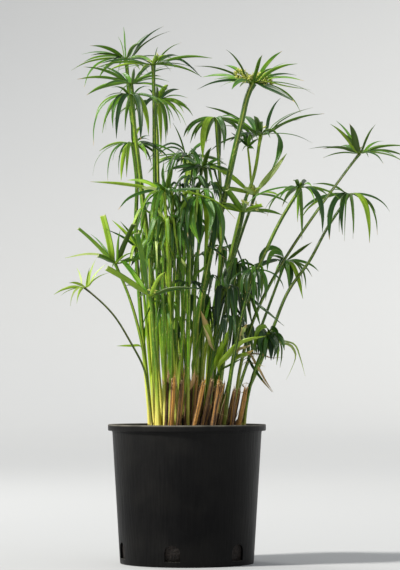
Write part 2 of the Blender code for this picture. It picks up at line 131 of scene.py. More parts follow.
class SedgeCulmSettings(bpy.types.PropertyGroup):
    """Sizes and colours of the three-sided stems."""

    corner: FloatProperty(
        name="Corner", description="How far the three corners stand out", default=0.13, min=0, max=0.3
    )
    flare: FloatProperty(
        name="Flare", description="How much wider a stem gets under its leaves", default=0.35, min=0, max=1
    )
    swell: FloatProperty(
        name="Swell", description="How much thicker a stem is at its foot", default=0.3, min=0, max=1
    )
    shade: colour_property("Shade green", "Colour of the darkest stems", "14300a")
    green: colour_property("Green", "Colour of most stems", "4c7a10")
    fresh: colour_property("Fresh green", "Colour of the youngest stems", "9ab624")
    # The foot colour is also the painted highlight along the stems' corners.
    foot: colour_property("Foot", "Colour of the stems' feet", "eee37a")


class SedgeBladeSettings(bpy.types.PropertyGroup):
    """Sizes and colours of the leaf blades in the whorls."""

    fold: FloatProperty(
        name="Fold", description="How deeply a blade is folded along its middle", default=0.34, min=0, max=1
    )
    thickness: FloatProperty(
        name="Thickness", description="Thickness as a share of half the width", default=0.085, min=0.02, max=0.5
    )
    keel: FloatProperty(
        name="Keel", description="How far the midrib stands out below", default=0.14, min=0, max=0.5
    )
    teal: colour_property("Teal", "Colour of the blades in deep shade", "0d2c12")
    bottle: colour_property("Bottle green", "Colour of dark blades", "1c450f")
    green: colour_property("Green", "Colour of most blades", "417612")
    fresh: colour_property("Fresh green", "Colour of bright blades", "93b423")
    pale: colour_property("Pale green", "Colour of the youngest blades", "bccb84")
    straw: colour_property("Straw", "Colour of dried tips", "b29a5c")


class SedgeFlowerSettings(bpy.types.PropertyGroup):
    """Sizes and colours of the flower clusters."""

    spikelet: FloatProperty(
        name="Spikelet", description="Length of one spikelet", default=0.006, unit="LENGTH"
    )
    green: colour_property("Green husk", "Colour of young husks", "97a53a")
    cream: colour_property("Cream husk", "Colour of ripe husks", "d9d38c")


class SedgeStubSettings(bpy.types.PropertyGroup):
    """Colours of the dry stubs and sheaths."""

    fray: FloatProperty(
        name="Fray", description="How much lower than a stub's top its fibres may end", default=0.12, min=0, max=0.5
    )
    plum: colour_property("Plum brown", "Colour of the oldest stubs", "331a10")
    grey: colour_property("Grey brown", "Colour of weathered stubs", "80603f")
    tan: colour_property("Tan", "Colour of dry stubs", "ab8450")
    orange: colour_property("Orange tan", "Colour of the newest stubs", "d79a3e")
    pith: colour_property("Pith", "Colour of the cut tops", "cfb684")


class SedgeStageSettings(bpy.types.PropertyGroup):
    """Floor and light."""

    floor: colour_property("Floor", "Colour of the floor and its backdrop", "b4b6b9")
    key_strength: FloatProperty(name="Key light", description="Strength of the main light", default=5.2, min=0)
    key_softness: FloatProperty(
        name="Key softness", description="How wide the main light looks", default=math.radians(9), subtype="ANGLE"
    )
    fill_power: FloatProperty(name="Fill light", description="Power of the soft light", default=6.0, unit="POWER")
    back_power: FloatProperty(name="Back light", description="Power of the light behind", default=26.0, unit="POWER")
    air: FloatProperty(name="Air", description="Strength of the light from all round", default=0.5, min=0)


# Node helpers


def put(tree, kind, feeds=None, **settings):
    """Adds a node. Feeds are its sockets' constants or the outputs linked to them."""
    node = tree.nodes.new(kind)
    for key, value in settings.items():
        setattr(node, key, value)
    for key, value in (feeds or {}).items():
        socket = node.inputs[key]
        if isinstance(value, bpy.types.Node):
            value = value.outputs[0]
        if isinstance(value, bpy.types.NodeSocket):
            tree.links.new(value, socket)
        else:
            socket.default_value = value
    return node


def sums(tree, operation, first, second=0.0, third=None, clamp=False):
    """The output of one sum."""
    feeds = {0: first, 1: second}
    if third is not None:
        feeds[2] = third
    return put(tree, "ShaderNodeMath", feeds, operation=operation, use_clamp=clamp).outputs[0]


def vectors(tree, operation, first, second):
    """The output of one sum of vectors."""
    return put(tree, "ShaderNodeVectorMath", {0: first, 1: second}, operation=operation).outputs[0]


def step(tree, value, low, high, smooth=True):
    """0 up to low, 1 from high, and a smooth rise between them."""
    kind = "SMOOTHSTEP" if smooth else "LINEAR"
    return put(
        tree,
        "ShaderNodeMapRange",
        {"Value": value, "From Min": low, "From Max": high},
        interpolation_type=kind,
    ).outputs[0]


def mixed(tree, share, first, second, mode="MIX"):
    """Two colours mixed by a share."""
    node = put(tree, "ShaderNodeMix", {0: share}, data_type="RGBA", blend_type=mode)
    for index, value in ((6, first), (7, second)):
        if isinstance(value, bpy.types.NodeSocket):
            tree.links.new(value, node.inputs[index])
        else:
            node.inputs[index].default_value = (*value, 1)
    return node.outputs[2]


def ramp(tree, share, stops):
    """Colours along a share, from pairs of a place and a colour."""
    node = put(tree, "ShaderNodeValToRGB", {0: share})
    elements = node.color_ramp.elements
    while len(elements) < len(stops):
        elements.new(0.5)
    for element, (place, colour) in zip(elements, stops):
        element.position = place
        element.color = (*colour, 1)
    return node.outputs[0]


def attribute(tree, name, output="Fac"):
    """A value that the piece's own mesh carries."""
    return put(tree, "ShaderNodeAttribute", attribute_name=name).outputs[output]


def new_group(name, inputs, outputs, kind="ShaderNodeTree"):
    """An empty node group with named sockets, and its two end nodes."""
    group = bpy.data.node_groups.new(name, kind)
    for way, sockets in (("INPUT", inputs), ("OUTPUT", outputs)):
        for label, socket_kind, default in sockets:
            socket = group.interface.new_socket(name=label, in_out=way, socket_type="NodeSocket" + socket_kind)
            if default is not None and way == "INPUT":
                socket.default_value = default
    return group, group.nodes.new("NodeGroupInput"), group.nodes.new("NodeGroupOutput")


def placed(tree, group, feeds, output=0):
    """An output of a node group placed in a material with its own values."""
    node = tree.nodes.new("ShaderNodeGroup")
    node.node_tree = group
    for key, value in feeds.items():
        if isinstance(value, bpy.types.NodeSocket):
            tree.links.new(value, node.inputs[key])
        else:
            node.inputs[key].default_value = value
    return node.outputs[output]


def material(name, colour, roughness, height, tree, bump=0.0004, strength=0.6, **constants):
    """Ends a material's nodes in its surface."""
    raised = put(tree, "ShaderNodeBump", {"Height": height, "Distance": bump, "Strength": strength})
    surface = put(tree, "ShaderNodeBsdfPrincipled", {"Base Color": colour, "Normal": raised})
    if isinstance(roughness, bpy.types.NodeSocket):
        tree.links.new(roughness, surface.inputs["Roughness"])
    else:
        surface.inputs["Roughness"].default_value = roughness
    for key, value in constants.items():
        surface.inputs[key.replace("_", " ")].default_value = value
    output = tree.nodes.new("ShaderNodeOutputMaterial")
    tree.links.new(surface.outputs[0], output.inputs["Surface"])


def new_material(name):
    """A material with an empty node tree."""
    made = bpy.data.materials.new(name)
    made.use_nodes = True
    made.node_tree.nodes.clear()
    return made, made.node_tree


# Shader groups


def make_grain_group():
    """Fine lines that run along a piece, closer together across it than along it."""
    group, start, end = new_group(
        "Sedge grain",
        [("Place", "Vector", None), ("Lines", "Float", 6.0), ("Stretch", "Float", 30.0), ("Shift", "Float", 0.0)],
        [("Mask", "Float", None)],
    )
    size = put(group, "ShaderNodeCombineXYZ", {0: start.outputs["Lines"], 1: start.outputs["Lines"],
                                               2: start.outputs["Stretch"]})
    place = vectors(group, "MULTIPLY", start.outputs["Place"], size.outputs[0])
    shift = sums(group, "MULTIPLY", start.outputs["Shift"], 41.0)
    moved = put(group, "ShaderNodeVectorMath", {0: place}, operation="ADD")
    group.links.new(shift, moved.inputs[1])
    noise = put(group, "ShaderNodeTexNoise", {"Vector": moved, "Scale": 1.0, "Detail": 2.0, "Roughness": 0.55})
    group.links.new(step(group, noise.outputs[0], 0.32, 0.68), end.inputs["Mask"])
    return group


def make_blotch_group():
    """Soft patches over a piece, in its own place."""
    group, start, end = new_group(
        "Sedge blotches",
        [("Scale", "Float", 30.0), ("Low", "Float", 0.4), ("High", "Float", 0.7), ("Shift", "Float", 0.0)],
        [("Mask", "Float", None)],
    )
    coordinates = put(group, "ShaderNodeTexCoord").outputs["Object"]
    moved = put(group, "ShaderNodeVectorMath", {0: coordinates}, operation="ADD")
    group.links.new(start.outputs["Shift"], moved.inputs[1])
    noise = put(group, "ShaderNodeTexNoise", {"Vector": moved, "Scale": start.outputs["Scale"], "Detail": 3.0})
    rise = put(
        group,
        "ShaderNodeMapRange",
        {"Value": noise.outputs[0], "From Min": start.outputs["Low"], "From Max": start.outputs["High"]},
        interpolation_type="SMOOTHSTEP",
    )
    group.links.new(rise.outputs[0], end.inputs["Mask"])
    return group


def make_dust_group():
    """Dust that lies on faces that look up, in specks and patches."""
    group, start, end = new_group(
        "Sedge dust",
        [("Scale", "Float", 90.0), ("Upward", "Float", 0.5)],
        [("Mask", "Float", None)],
    )
    normal = put(group, "ShaderNodeNewGeometry").outputs["Normal"]
    height = put(group, "ShaderNodeSeparateXYZ", {0: normal}).outputs["Z"]
    upward = put(group, "ShaderNodeMapRange", {"Value": height, "From Min": start.outputs["Upward"], "From Max": 1.0})
    coordinates = put(group, "ShaderNodeTexCoord").outputs["Object"]
    noise = put(
        group, "ShaderNodeTexNoise", {"Vector": coordinates, "Scale": start.outputs["Scale"], "Detail": 4.0}
    ).outputs[0]
    group.links.new(
        sums(group, "MULTIPLY", upward.outputs[0], step(group, noise, 0.35, 0.7)), end.inputs["Mask"]
    )
    return group


GROUPS = {}
MATERIALS = {}


def shared_group(name):
    """A shader group, built the first time it is asked for."""
    makers = {"grain": make_grain_group, "blotch": make_blotch_group, "dust": make_dust_group}
    if name not in GROUPS:
        GROUPS[name] = makers[name]()
    return GROUPS[name]


def strand_place(tree):
    """Where a point is on a strand: round its section and along its length, in metres."""
    across = put(tree, "ShaderNodeSeparateXYZ", {0: attribute(tree, "round", "Vector")})
    place = put(
        tree, "ShaderNodeCombineXYZ", {0: across.outputs[0], 1: across.outputs[1], 2: attribute(tree, "reach")}
    )
    return across.outputs[0], across.outputs[1], place.outputs[0]


def blade_material(looks):
    """Leaf blades: parallel veins, a midrib, a pale foot, pale margins that are partly a painted highlight, dried tips
    and a duller underside.
    """
    made, tree = new_material("sedge_blade")
    luck = attribute(tree, "luck")
    along = attribute(tree, "along")
    across, upper, place = strand_place(tree)
    veins = placed(tree, shared_group("grain"), {"Place": place, "Lines": 5.5, "Stretch": 24.0, "Shift": luck})
    blotch = placed(tree, shared_group("blotch"), {"Scale": 42.0, "Low": 0.3, "High": 0.7, "Shift": luck})
    tone = attribute(tree, "tone")
    tone = sums(tree, "MULTIPLY_ADD", sums(tree, "SUBTRACT", veins, 0.5), 0.16, tone)
    tone = sums(tree, "MULTIPLY_ADD", sums(tree, "SUBTRACT", blotch, 0.5), 0.14, tone)
    colour = ramp(
        tree,
        tone,
        [(0.0, looks.teal), (0.22, looks.bottle), (0.5, looks.green), (0.8, looks.fresh), (1.0, looks.pale)],
    )
    foot = sums(tree, "MULTIPLY", step(tree, along, 0.14, 0.0), 0.5)
    colour = mixed(tree, foot, colour, looks.fresh)
    middle = sums(tree, "ABSOLUTE", across)
    rib = step(tree, middle, 0.2, 0.04)
    colour = mixed(tree, sums(tree, "MULTIPLY", rib, sums(tree, "MULTIPLY_ADD", tone, 0.3, 0.02)), colour, looks.fresh)
    # Pale margins: partly the blades' own paler edges, partly a painted highlight, stronger on brighter blades.
    margin_and_highlight = sums(tree, "MULTIPLY", step(tree, middle, 0.74, 0.96), sums(tree, "MULTIPLY_ADD", tone, 0.5, 0.12))
    colour = mixed(tree, margin_and_highlight, colour, looks.fresh)
    under = step(tree, upper, 0.0, -0.3)
    colour = mixed(tree, sums(tree, "MULTIPLY", under, 0.16), colour, looks.fresh)
    age = attribute(tree, "age")
    dried = sums(tree, "SUBTRACT", along, sums(tree, "SUBTRACT", 1.0, age))
    dried = step(tree, sums(tree, "MULTIPLY_ADD", sums(tree, "SUBTRACT", blotch, 0.5), 0.06, dried), -0.015, 0.05)
    colour = mixed(tree, dried, colour, looks.straw)
    ended = sums(tree, "MULTIPLY", attribute(tree, "cut"), step(tree, along, 0.975, 0.99))
    colour = mixed(tree, ended, colour, looks.pale)
    roughness = sums(tree, "MULTIPLY_ADD", veins, 0.12, 0.33)
    height = sums(tree, "SUBTRACT", sums(tree, "MULTIPLY", veins, 0.5), rib)
    material(made.name, colour, roughness, height, tree, bump=0.0002, Specular_IOR_Level=0.38)
    return made


def culm_material(looks):
    """Stems: fine ribs, a yellow foot, pale flecks, a painted highlight along the three corners, painted shade that
    darkens them upward and a lighter lower part that is partly painted light.
    """
    made, tree = new_material("sedge_culm")
    luck = attribute(tree, "luck")
    along = attribute(tree, "along")
    across, upper, place = strand_place(tree)
    ribs = placed(tree, shared_group("grain"), {"Place": place, "Lines": 3.2, "Stretch": 9.0, "Shift": luck})
    blotch = placed(tree, shared_group("blotch"), {"Scale": 34.0, "Low": 0.3, "High": 0.7, "Shift": luck})
    tone = sums(tree, "MULTIPLY_ADD", sums(tree, "SUBTRACT", ribs, 0.5), 0.2, attribute(tree, "tone"))
    tone = sums(tree, "MULTIPLY_ADD", sums(tree, "SUBTRACT", blotch, 0.5), 0.2, tone)
    # Painted highlight: the three corners are made lighter in tone.
    around = sums(tree, "MULTIPLY", sums(tree, "ARCTAN2", upper, across), 3.0)
    corner_highlight = step(tree, sums(tree, "COSINE", around), 0.55, 1.0)
    tone = sums(tree, "MULTIPLY_ADD", corner_highlight, 0.16, tone)
    # Painted shade: stems are made darker towards their tops, as if shaded by the leaves above.
    tone = sums(tree, "SUBTRACT", sums(tree, "ADD", tone, 0.04), sums(tree, "MULTIPLY", along, 0.1))
    # Lighter lower part, weighted by the foot share: partly the stems' own paler base, partly painted light.
    pale_and_lit_lower_part = sums(tree, "MULTIPLY", step(tree, along, 0.7, 0.1), attribute(tree, "age"))
    tone = sums(tree, "MULTIPLY_ADD", pale_and_lit_lower_part, 0.42, tone)
    colour = ramp(tree, tone, [(0.0, looks.shade), (0.5, looks.green), (1.0, looks.fresh)])
    foot = sums(tree, "MULTIPLY", step(tree, along, 0.36, 0.04), attribute(tree, "age"))
    # Pale foot colour is also laid along the corners' ribs as a painted highlight.
    foot = sums(tree, "MAXIMUM", foot, sums(tree, "MULTIPLY", corner_highlight, sums(tree, "MULTIPLY", ribs, 0.34)))
    colour = mixed(tree, foot, colour, looks.foot)
    flecks = placed(tree, shared_group("grain"), {"Place": place, "Lines": 2.0, "Stretch": 260.0, "Shift": luck})
    fleck = sums(tree, "MULTIPLY", step(tree, flecks, 0.9, 1.0), 0.3)
    colour = mixed(tree, fleck, colour, looks.foot)
    roughness = sums(tree, "MULTIPLY_ADD", ribs, 0.14, 0.28)
    material(made.name, colour, roughness, ribs, tree, bump=0.0004, Specular_IOR_Level=0.3)
    return made


def dry_material(name, looks):
    """Dry stem fibre, from plum brown to orange, pale where it was cut."""
    made, tree = new_material(name)
    luck = attribute(tree, "luck")
    across, upper, place = strand_place(tree)
    fibres = placed(tree, shared_group("grain"), {"Place": place, "Lines": 4.4, "Stretch": 26.0, "Shift": luck})
    blotch = placed(tree, shared_group("blotch"), {"Scale": 85.0, "Low": 0.32, "High": 0.72, "Shift": luck})
    tone = sums(tree, "MULTIPLY_ADD", sums(tree, "SUBTRACT", fibres, 0.5), 0.5, attribute(tree, "tone"))
    tone = sums(tree, "MULTIPLY_ADD", sums(tree, "SUBTRACT", blotch, 0.5), 0.4, tone)
    colour = ramp(
        tree, tone, [(0.0, looks.plum), (0.36, looks.grey), (0.68, looks.tan), (1.0, looks.orange)]
    )
    dark = sums(tree, "MULTIPLY", step(tree, fibres, 0.4, 0.0), 0.8)
    colour = mixed(tree, dark, colour, looks.plum)
    pale = sums(tree, "MULTIPLY", step(tree, fibres, 0.78, 1.0), sums(tree, "MULTIPLY", blotch, 0.6))
    colour = mixed(tree, pale, colour, looks.pith)
    ended = sums(tree, "MULTIPLY", attribute(tree, "cut"), step(tree, attribute(tree, "along"), 0.96, 0.995))
    colour = mixed(tree, ended, colour, looks.pith)
    material(made.name, colour, sums(tree, "MULTIPLY_ADD", fibres, 0.15, 0.62), fibres, tree, bump=0.0009)
    return made


def sheath_material(looks):
    """Papery sheaths and dead leaf bits."""
    made, tree = new_material("papery_sheath")
    luck = attribute(tree, "luck")
    across, upper, place = strand_place(tree)
    fibres = placed(tree, shared_group("grain"), {"Place": place, "Lines": 6.0, "Stretch": 30.0, "Shift": luck})
    tone = sums(tree, "MULTIPLY_ADD", sums(tree, "SUBTRACT", fibres, 0.5), 0.35, attribute(tree, "tone"))
    colour = ramp(
        tree, tone, [(0.0, looks.plum), (0.4, looks.tan), (0.75, looks.pith), (1.0, paint("f4e296"))]
    )
    material(made.name, colour, 0.6, fibres, tree, bump=0.0005)
    return made


def flower_material(looks):
    """Husks of the spikelets, greener at their feet."""
    made, tree = new_material("flower_husk")
    blotch = placed(tree, shared_group("blotch"), {"Scale": 260.0, "Low": 0.3, "High": 0.7, "Shift": 0.0})
    share = sums(tree, "MULTIPLY_ADD", blotch, 0.4, sums(tree, "MULTIPLY", attribute(tree, "along"), 0.6))
    colour = ramp(tree, share, [(0.0, looks.green), (0.55, paint("b9bd58")), (1.0, looks.cream)])
    material(made.name, colour, 0.5, blotch, tree, bump=0.0003)
    return made


def pot_material(looks):
    """Black moulded plastic: fine upright streaks, scuffs, dust on the rim, a painted sheen that lightens the upper
    wall and a painted highlight on the rim's top edge.
    """
    made, tree = new_material("pot_plastic_black")
    coordinates = put(tree, "ShaderNodeTexCoord").outputs["Object"]
    streaks = placed(
        tree, shared_group("grain"), {"Place": coordinates, "Lines": 420.0, "Stretch": 9.0, "Shift": 0.0}
    )
    scuffs = placed(tree, shared_group("blotch"), {"Scale": 26.0, "Low": 0.35, "High": 0.75, "Shift": 3.0})
    dust = placed(tree, shared_group("dust"), {"Scale": 160.0, "Upward": 0.35})
    height = put(tree, "ShaderNodeSeparateXYZ", {0: coordinates}).outputs["Z"]
    # Painted sheen: the wall is made lighter from about a third of its height up to the top.
    upper_sheen = sums(tree, "MULTIPLY", step(tree, height, looks.height * 0.35, looks.height), 0.4)
    streaks_and_sheen = sums(tree, "MULTIPLY_ADD", streaks, 0.14, upper_sheen)
    colour = mixed(tree, streaks_and_sheen, looks.plastic, paint("1b1b1b"))
    colour = mixed(tree, sums(tree, "MULTIPLY", scuffs, 0.012), colour, looks.dust)
    # The rim's top edge is made pale: partly dust, partly a painted highlight.
    edge = step(tree, height, looks.height - 0.0024, looks.height - 0.0008)
    edge = sums(tree, "MULTIPLY", edge, sums(tree, "MULTIPLY_ADD", scuffs, 0.6, 0.3))
    dust_and_rim_highlight = sums(tree, "MULTIPLY", sums(tree, "MAXIMUM", dust, edge), 0.7)
    colour = mixed(tree, dust_and_rim_highlight, colour, looks.dust)
    roughness = sums(tree, "MULTIPLY_ADD", streaks, 0.1, sums(tree, "MULTIPLY_ADD", dust_and_rim_highlight, 0.3, 0.4))
    material(made.name, colour, roughness, streaks, tree, bump=0.0002, Specular_IOR_Level=0.1)
    return made


def soil_material(looks):
    """Damp crumbs of soil with pale specks."""
    made, tree = new_material("potting_soil")
    crumbs = placed(tree, shared_group("blotch"), {"Scale": 420.0, "Low": 0.3, "High": 0.7, "Shift": 0.0})
    patches = placed(tree, shared_group("blotch"), {"Scale": 60.0, "Low": 0.3, "High": 0.7, "Shift": 9.0})
    specks = placed(tree, shared_group("blotch"), {"Scale": 700.0, "Low": 0.66, "High": 0.7, "Shift": 5.0})
    colour = mixed(tree, sums(tree, "MULTIPLY", crumbs, 0.5), looks.soil, looks.bark)
    colour = mixed(tree, sums(tree, "MULTIPLY", patches, 0.4), colour, paint("15100c"))
    colour = mixed(tree, sums(tree, "MULTIPLY", specks, 0.6), colour, paint("a99a80"))
    height = put(tree, "ShaderNodeSeparateXYZ", {0: put(tree, "ShaderNodeTexCoord").outputs["Object"]}).outputs["Z"]
    # Darker downward from 20 mm below the soil's top, nearly black from 60 mm down.
    darker_below_top = step(tree, height, SOIL_BOX[1].z - 0.02, SOIL_BOX[1].z - 0.06)
    colour = mixed(tree, sums(tree, "MULTIPLY", darker_below_top, 0.85), colour, paint("080605"))
    material(made.name, colour, sums(tree, "MULTIPLY_ADD", patches, 0.2, 0.65), crumbs, tree, bump=0.0012)
    return made


def bark_material(looks):
    """Bark chips, each its own brown."""
    made, tree = new_material("bark_chip")
    luck = attribute(tree, "luck")
    coordinates = put(tree, "ShaderNodeTexCoord").outputs["Object"]
    lines = placed(tree, shared_group("grain"), {"Place": coordinates, "Lines": 900.0, "Stretch": 240.0,
                                                 "Shift": luck})
    share = sums(tree, "MULTIPLY_ADD", lines, 0.35, sums(tree, "MULTIPLY", luck, 0.65))
    colour = ramp(tree, share, [(0.0, paint("2e1d14")), (0.5, looks.bark), (1.0, paint("a48765"))])
    material(made.name, colour, 0.72, lines, tree, bump=0.0006)
    return made


def floor_material(looks):
    """The pale floor, very slightly mottled."""
    made, tree = new_material("studio_floor")
    blotch = placed(tree, shared_group("blotch"), {"Scale": 0.6, "Low": 0.2, "High": 0.8, "Shift": 0.0})
    colour = mixed(tree, sums(tree, "MULTIPLY", blotch, 0.06), looks.floor, paint("cfccc5"))
    material(made.name, colour, 0.75, blotch, tree, bump=0.0002)
    return made


def finish_of(name):
    """A material, built the first time it is asked for."""
    scene = bpy.context.scene
    makers = {
        "blade": lambda: blade_material(scene.sedge_blade),
        "culm": lambda: culm_material(scene.sedge_culm),
        "dry": lambda: dry_material("dry_fibre", scene.sedge_stub),
        "sheath": lambda: sheath_material(scene.sedge_stub),
        "flower": lambda: flower_material(scene.sedge_flower),
        "pot": lambda: pot_material(scene.sedge_pot),
        "soil": lambda: soil_material(scene.sedge_soil),
        "bark": lambda: bark_material(scene.sedge_soil),
        "floor": lambda: floor_material(scene.sedge_stage),
    }
    if name not in MATERIALS:
        MATERIALS[name] = makers[name]()
    return MATERIALS[name]


# Geometry Nodes

STRAND_VALUES = ("along", "reach", "tone", "age", "cut", "luck")


def strand_tree(name, shape_inputs, shape):
    """A tree that sweeps a section along every strand. shape(tree, start, x, y) gives the section's points."""
    inputs = [("Geometry", "Geometry", None), ("Points", "Int", 8), ("Finish", "Material", None), *shape_inputs]
    tree, start, end = new_group(name, inputs, [("Geometry", "Geometry", None)], "GeometryNodeTree")
    tree.is_modifier = True
    side = put(tree, "GeometryNodeInputNamedAttribute", {"Name": "side"}, data_type="FLOAT_VECTOR")
    width = put(tree, "GeometryNodeInputNamedAttribute", {"Name": "half_width"}, data_type="FLOAT")
    lines = put(tree, "GeometryNodeMeshToCurve", {0: start.outputs["Geometry"]})
    turned = put(
        tree, "GeometryNodeSetCurveNormal", {"Curve": lines.outputs[0], "Normal": side.outputs[0]}, mode="FREE"
    )
    circle = put(
        tree, "GeometryNodeCurvePrimitiveCircle", {"Resolution": start.outputs["Points"], "Radius": 1.0}
    )
    place = put(tree, "GeometryNodeInputPosition").outputs[0]
    kept = put(
        tree,
        "GeometryNodeStoreNamedAttribute",
        {"Geometry": circle.outputs[0], "Name": "round", "Value": place},
        data_type="FLOAT_VECTOR",
        domain="POINT",
    )
    parts = put(tree, "ShaderNodeSeparateXYZ", {0: place})
    x, y = shape(tree, start, parts.outputs[0], parts.outputs[1])
    moved = put(tree, "ShaderNodeCombineXYZ", {0: x, 1: y})
    section = put(tree, "GeometryNodeSetPosition", {"Geometry": kept.outputs[0], "Position": moved.outputs[0]})
    swept = put(
        tree,
        "GeometryNodeCurveToMesh",
        {
            "Curve": turned.outputs[0],
            "Profile Curve": section.outputs[0],
            "Scale": width.outputs[0],
            "Fill Caps": True,
        },
    )
    smooth = put(tree, "GeometryNodeSetShadeSmooth", {"Geometry": swept.outputs[0], "Shade Smooth": True})
    real = put(tree, "GeometryNodeRealizeInstances", {"Geometry": smooth.outputs[0]})
    finish = put(
        tree, "GeometryNodeSetMaterial", {"Geometry": real.outputs[0], "Material": start.outputs["Finish"]}
    )
    tree.links.new(finish.outputs[0], end.inputs["Geometry"])
    return tree


def blade_section(tree, start, x, y):
    """A thin blade folded along its middle, with a rib below."""
    wide = sums(tree, "ABSOLUTE", x)
    fold = sums(tree, "MULTIPLY", wide, start.outputs["Fold"])
    thick = sums(tree, "MULTIPLY_ADD", y, start.outputs["Thickness"], fold)
    middle = sums(tree, "SUBTRACT", 1.0, sums(tree, "MULTIPLY", wide, 1.6), clamp=True)
    below = sums(tree, "MULTIPLY", sums(tree, "MINIMUM", y, 0.0), sums(tree, "MULTIPLY", middle, start.outputs["Keel"]))
    return x, sums(tree, "ADD", thick, below)


def culm_section(tree, start, x, y):
    """A round-cornered triangle with shallow flutes."""
    angle = sums(tree, "ARCTAN2", y, x)
    corner = sums(tree, "MULTIPLY", sums(tree, "COSINE", sums(tree, "MULTIPLY", angle, 3.0)), start.outputs["Corner"])
    flute = sums(
        tree, "MULTIPLY", sums(tree, "COSINE", sums(tree, "MULTIPLY", angle, 9.0)), start.outputs["Flute"]
    )
    radius = sums(tree, "ADD", sums(tree, "ADD", corner, flute), 1.0)
    return sums(tree, "MULTIPLY", x, radius), sums(tree, "MULTIPLY", y, radius)


def scatter_tree(name, shape, sizes, low, high):
    """A tree that scatters a small shape over faces, upright on them or lying as the sizes say."""
    inputs = [
        ("Geometry", "Geometry", None),
        ("Density", "Float", 1000.0),
        ("Length", "Float", 0.01),
        ("Lean", "Float", 0.3),
        ("Seed", "Int", 1),
        ("Finish", "Material", None),
    ]
    tree, start, end = new_group(name, inputs, [("Geometry", "Geometry", None)], "GeometryNodeTree")
    tree.is_modifier = True
    seed = start.outputs["Seed"]
    spots = put(
        tree,
        "GeometryNodeDistributePointsOnFaces",
        {"Mesh": start.outputs["Geometry"], "Density": start.outputs["Density"], "Seed": seed},
    )
    body = put(tree, "GeometryNodeMeshIcoSphere", {"Radius": 0.5, "Subdivisions": 1 if shape == "chip" else 2})
    place = put(tree, "GeometryNodeInputPosition").outputs[0]
    height = put(tree, "ShaderNodeSeparateXYZ", {0: place}).outputs[2]
    marked = put(
        tree,
        "GeometryNodeStoreNamedAttribute",
        {"Geometry": body.outputs[0], "Name": "along", "Value": sums(tree, "ADD", height, 0.5)},
        data_type="FLOAT",
        domain="POINT",
    )
    stood = put(
        tree,
        "GeometryNodeTransform",
        {"Geometry": marked.outputs[0], "Translation": (0, 0, 0.4 if shape == "husk" else 0.0), "Scale": sizes},
    )
    lean = sums(tree, "MULTIPLY", start.outputs["Lean"], -1.0)
    low_turn = put(tree, "ShaderNodeCombineXYZ", {0: lean, 1: lean, 2: -3.14})
    high_turn = put(tree, "ShaderNodeCombineXYZ", {0: start.outputs["Lean"], 1: start.outputs["Lean"], 2: 3.14})
    turn = put(
        tree,
        "FunctionNodeRandomValue",
        {0: low_turn.outputs[0], 1: high_turn.outputs[0], "Seed": seed},
        data_type="FLOAT_VECTOR",
    )
    turned = put(
        tree, "FunctionNodeRotateRotation", {0: spots.outputs["Rotation"], 1: turn.outputs[0]}, rotation_space="LOCAL"
    )
    size = put(tree, "FunctionNodeRandomValue", {2: low, 3: high, "Seed": sums(tree, "ADD", seed, 7.0)})
    length = sums(tree, "MULTIPLY", size.outputs[1], start.outputs["Length"])
    luck = put(tree, "FunctionNodeRandomValue", {2: 0.0, 3: 1.0, "Seed": sums(tree, "ADD", seed, 3.0)})
    lucky = put(
        tree,
        "GeometryNodeStoreNamedAttribute",
        {"Geometry": spots.outputs[0], "Name": "luck", "Value": luck.outputs[1]},
        data_type="FLOAT",
        domain="POINT",
    )
    grown = put(
        tree,
        "GeometryNodeInstanceOnPoints",
        {"Points": lucky.outputs[0], "Instance": stood.outputs[0], "Rotation": turned.outputs[0], "Scale": length},
    )
    real = put(tree, "GeometryNodeRealizeInstances", {"Geometry": grown.outputs[0]})
    finish = put(
        tree, "GeometryNodeSetMaterial", {"Geometry": real.outputs[0], "Material": start.outputs["Finish"]}
    )
    tree.links.new(finish.outputs[0], end.inputs["Geometry"])
    return tree


TREES = {}


def growing_tree(name):
    """A Geometry Nodes tree, built the first time it is asked for."""
    makers = {
        "blade": lambda: strand_tree(
            "Sedge blade sweep",
            [("Fold", "Float", 0.3), ("Thickness", "Float", 0.1), ("Keel", "Float", 0.15)],
            blade_section,
        ),
        "culm": lambda: strand_tree(
            "Sedge stem sweep", [("Corner", "Float", 0.13), ("Flute", "Float", 0.0)], culm_section
        ),
        "chips": lambda: scatter_tree("Sedge bark scatter", "chip", (0.55, 1.0, 0.3), 0.4, 1.1),
        "husks": lambda: scatter_tree("Sedge spikelets", "husk", (0.3, 0.18, 1.0), 0.65, 1.1),
    }
    if name not in TREES:
        TREES[name] = makers[name]()
    return TREES[name]


def link(name, mesh):
    """An object that holds a mesh, in the scene."""
    piece = bpy.data.objects.new(name, mesh)
    bpy.context.scene.collection.objects.link(piece)
    return piece


def grown(name, seed_mesh, tree_name, values):
    """Runs a tree on a mesh, and gives back a plain piece that holds the result."""
    piece = link(name, seed_mesh)
    tree = growing_tree(tree_name)
    modifier = piece.modifiers.new("growth", "NODES")
    modifier.node_group = tree
    for item in tree.interface.items_tree:
        if item.item_type == "SOCKET" and item.in_out == "INPUT" and item.name in values:
            modifier[item.identifier] = values[item.name]
    bpy.context.view_layer.update()
    depsgraph = bpy.context.evaluated_depsgraph_get()
    result = bpy.data.meshes.new_from_object(piece.evaluated_get(depsgraph))
    piece.modifiers.remove(modifier)
    piece.data = result
    result.name = name
    bpy.data.meshes.remove(seed_mesh)
    if not len(result.polygons):
        raise RuntimeError(f"{name} grew no faces")
    return piece


# Lines and strands


@dataclass
class Strand:
    """A blade, stem or stub: stations along a line, with the direction across it and its half width."""

    points: np.ndarray
    side: np.ndarray
    half_width: np.ndarray
    tone: float = 0.4
    age: float = 0.0
    cut: float = 0.0
    luck: float = 0.0


def unit(rows):
    """Vectors of length one."""
    rows = np.asarray(rows, float)
    return rows / np.maximum(np.linalg.norm(rows, axis=-1, keepdims=True), 1e-12)


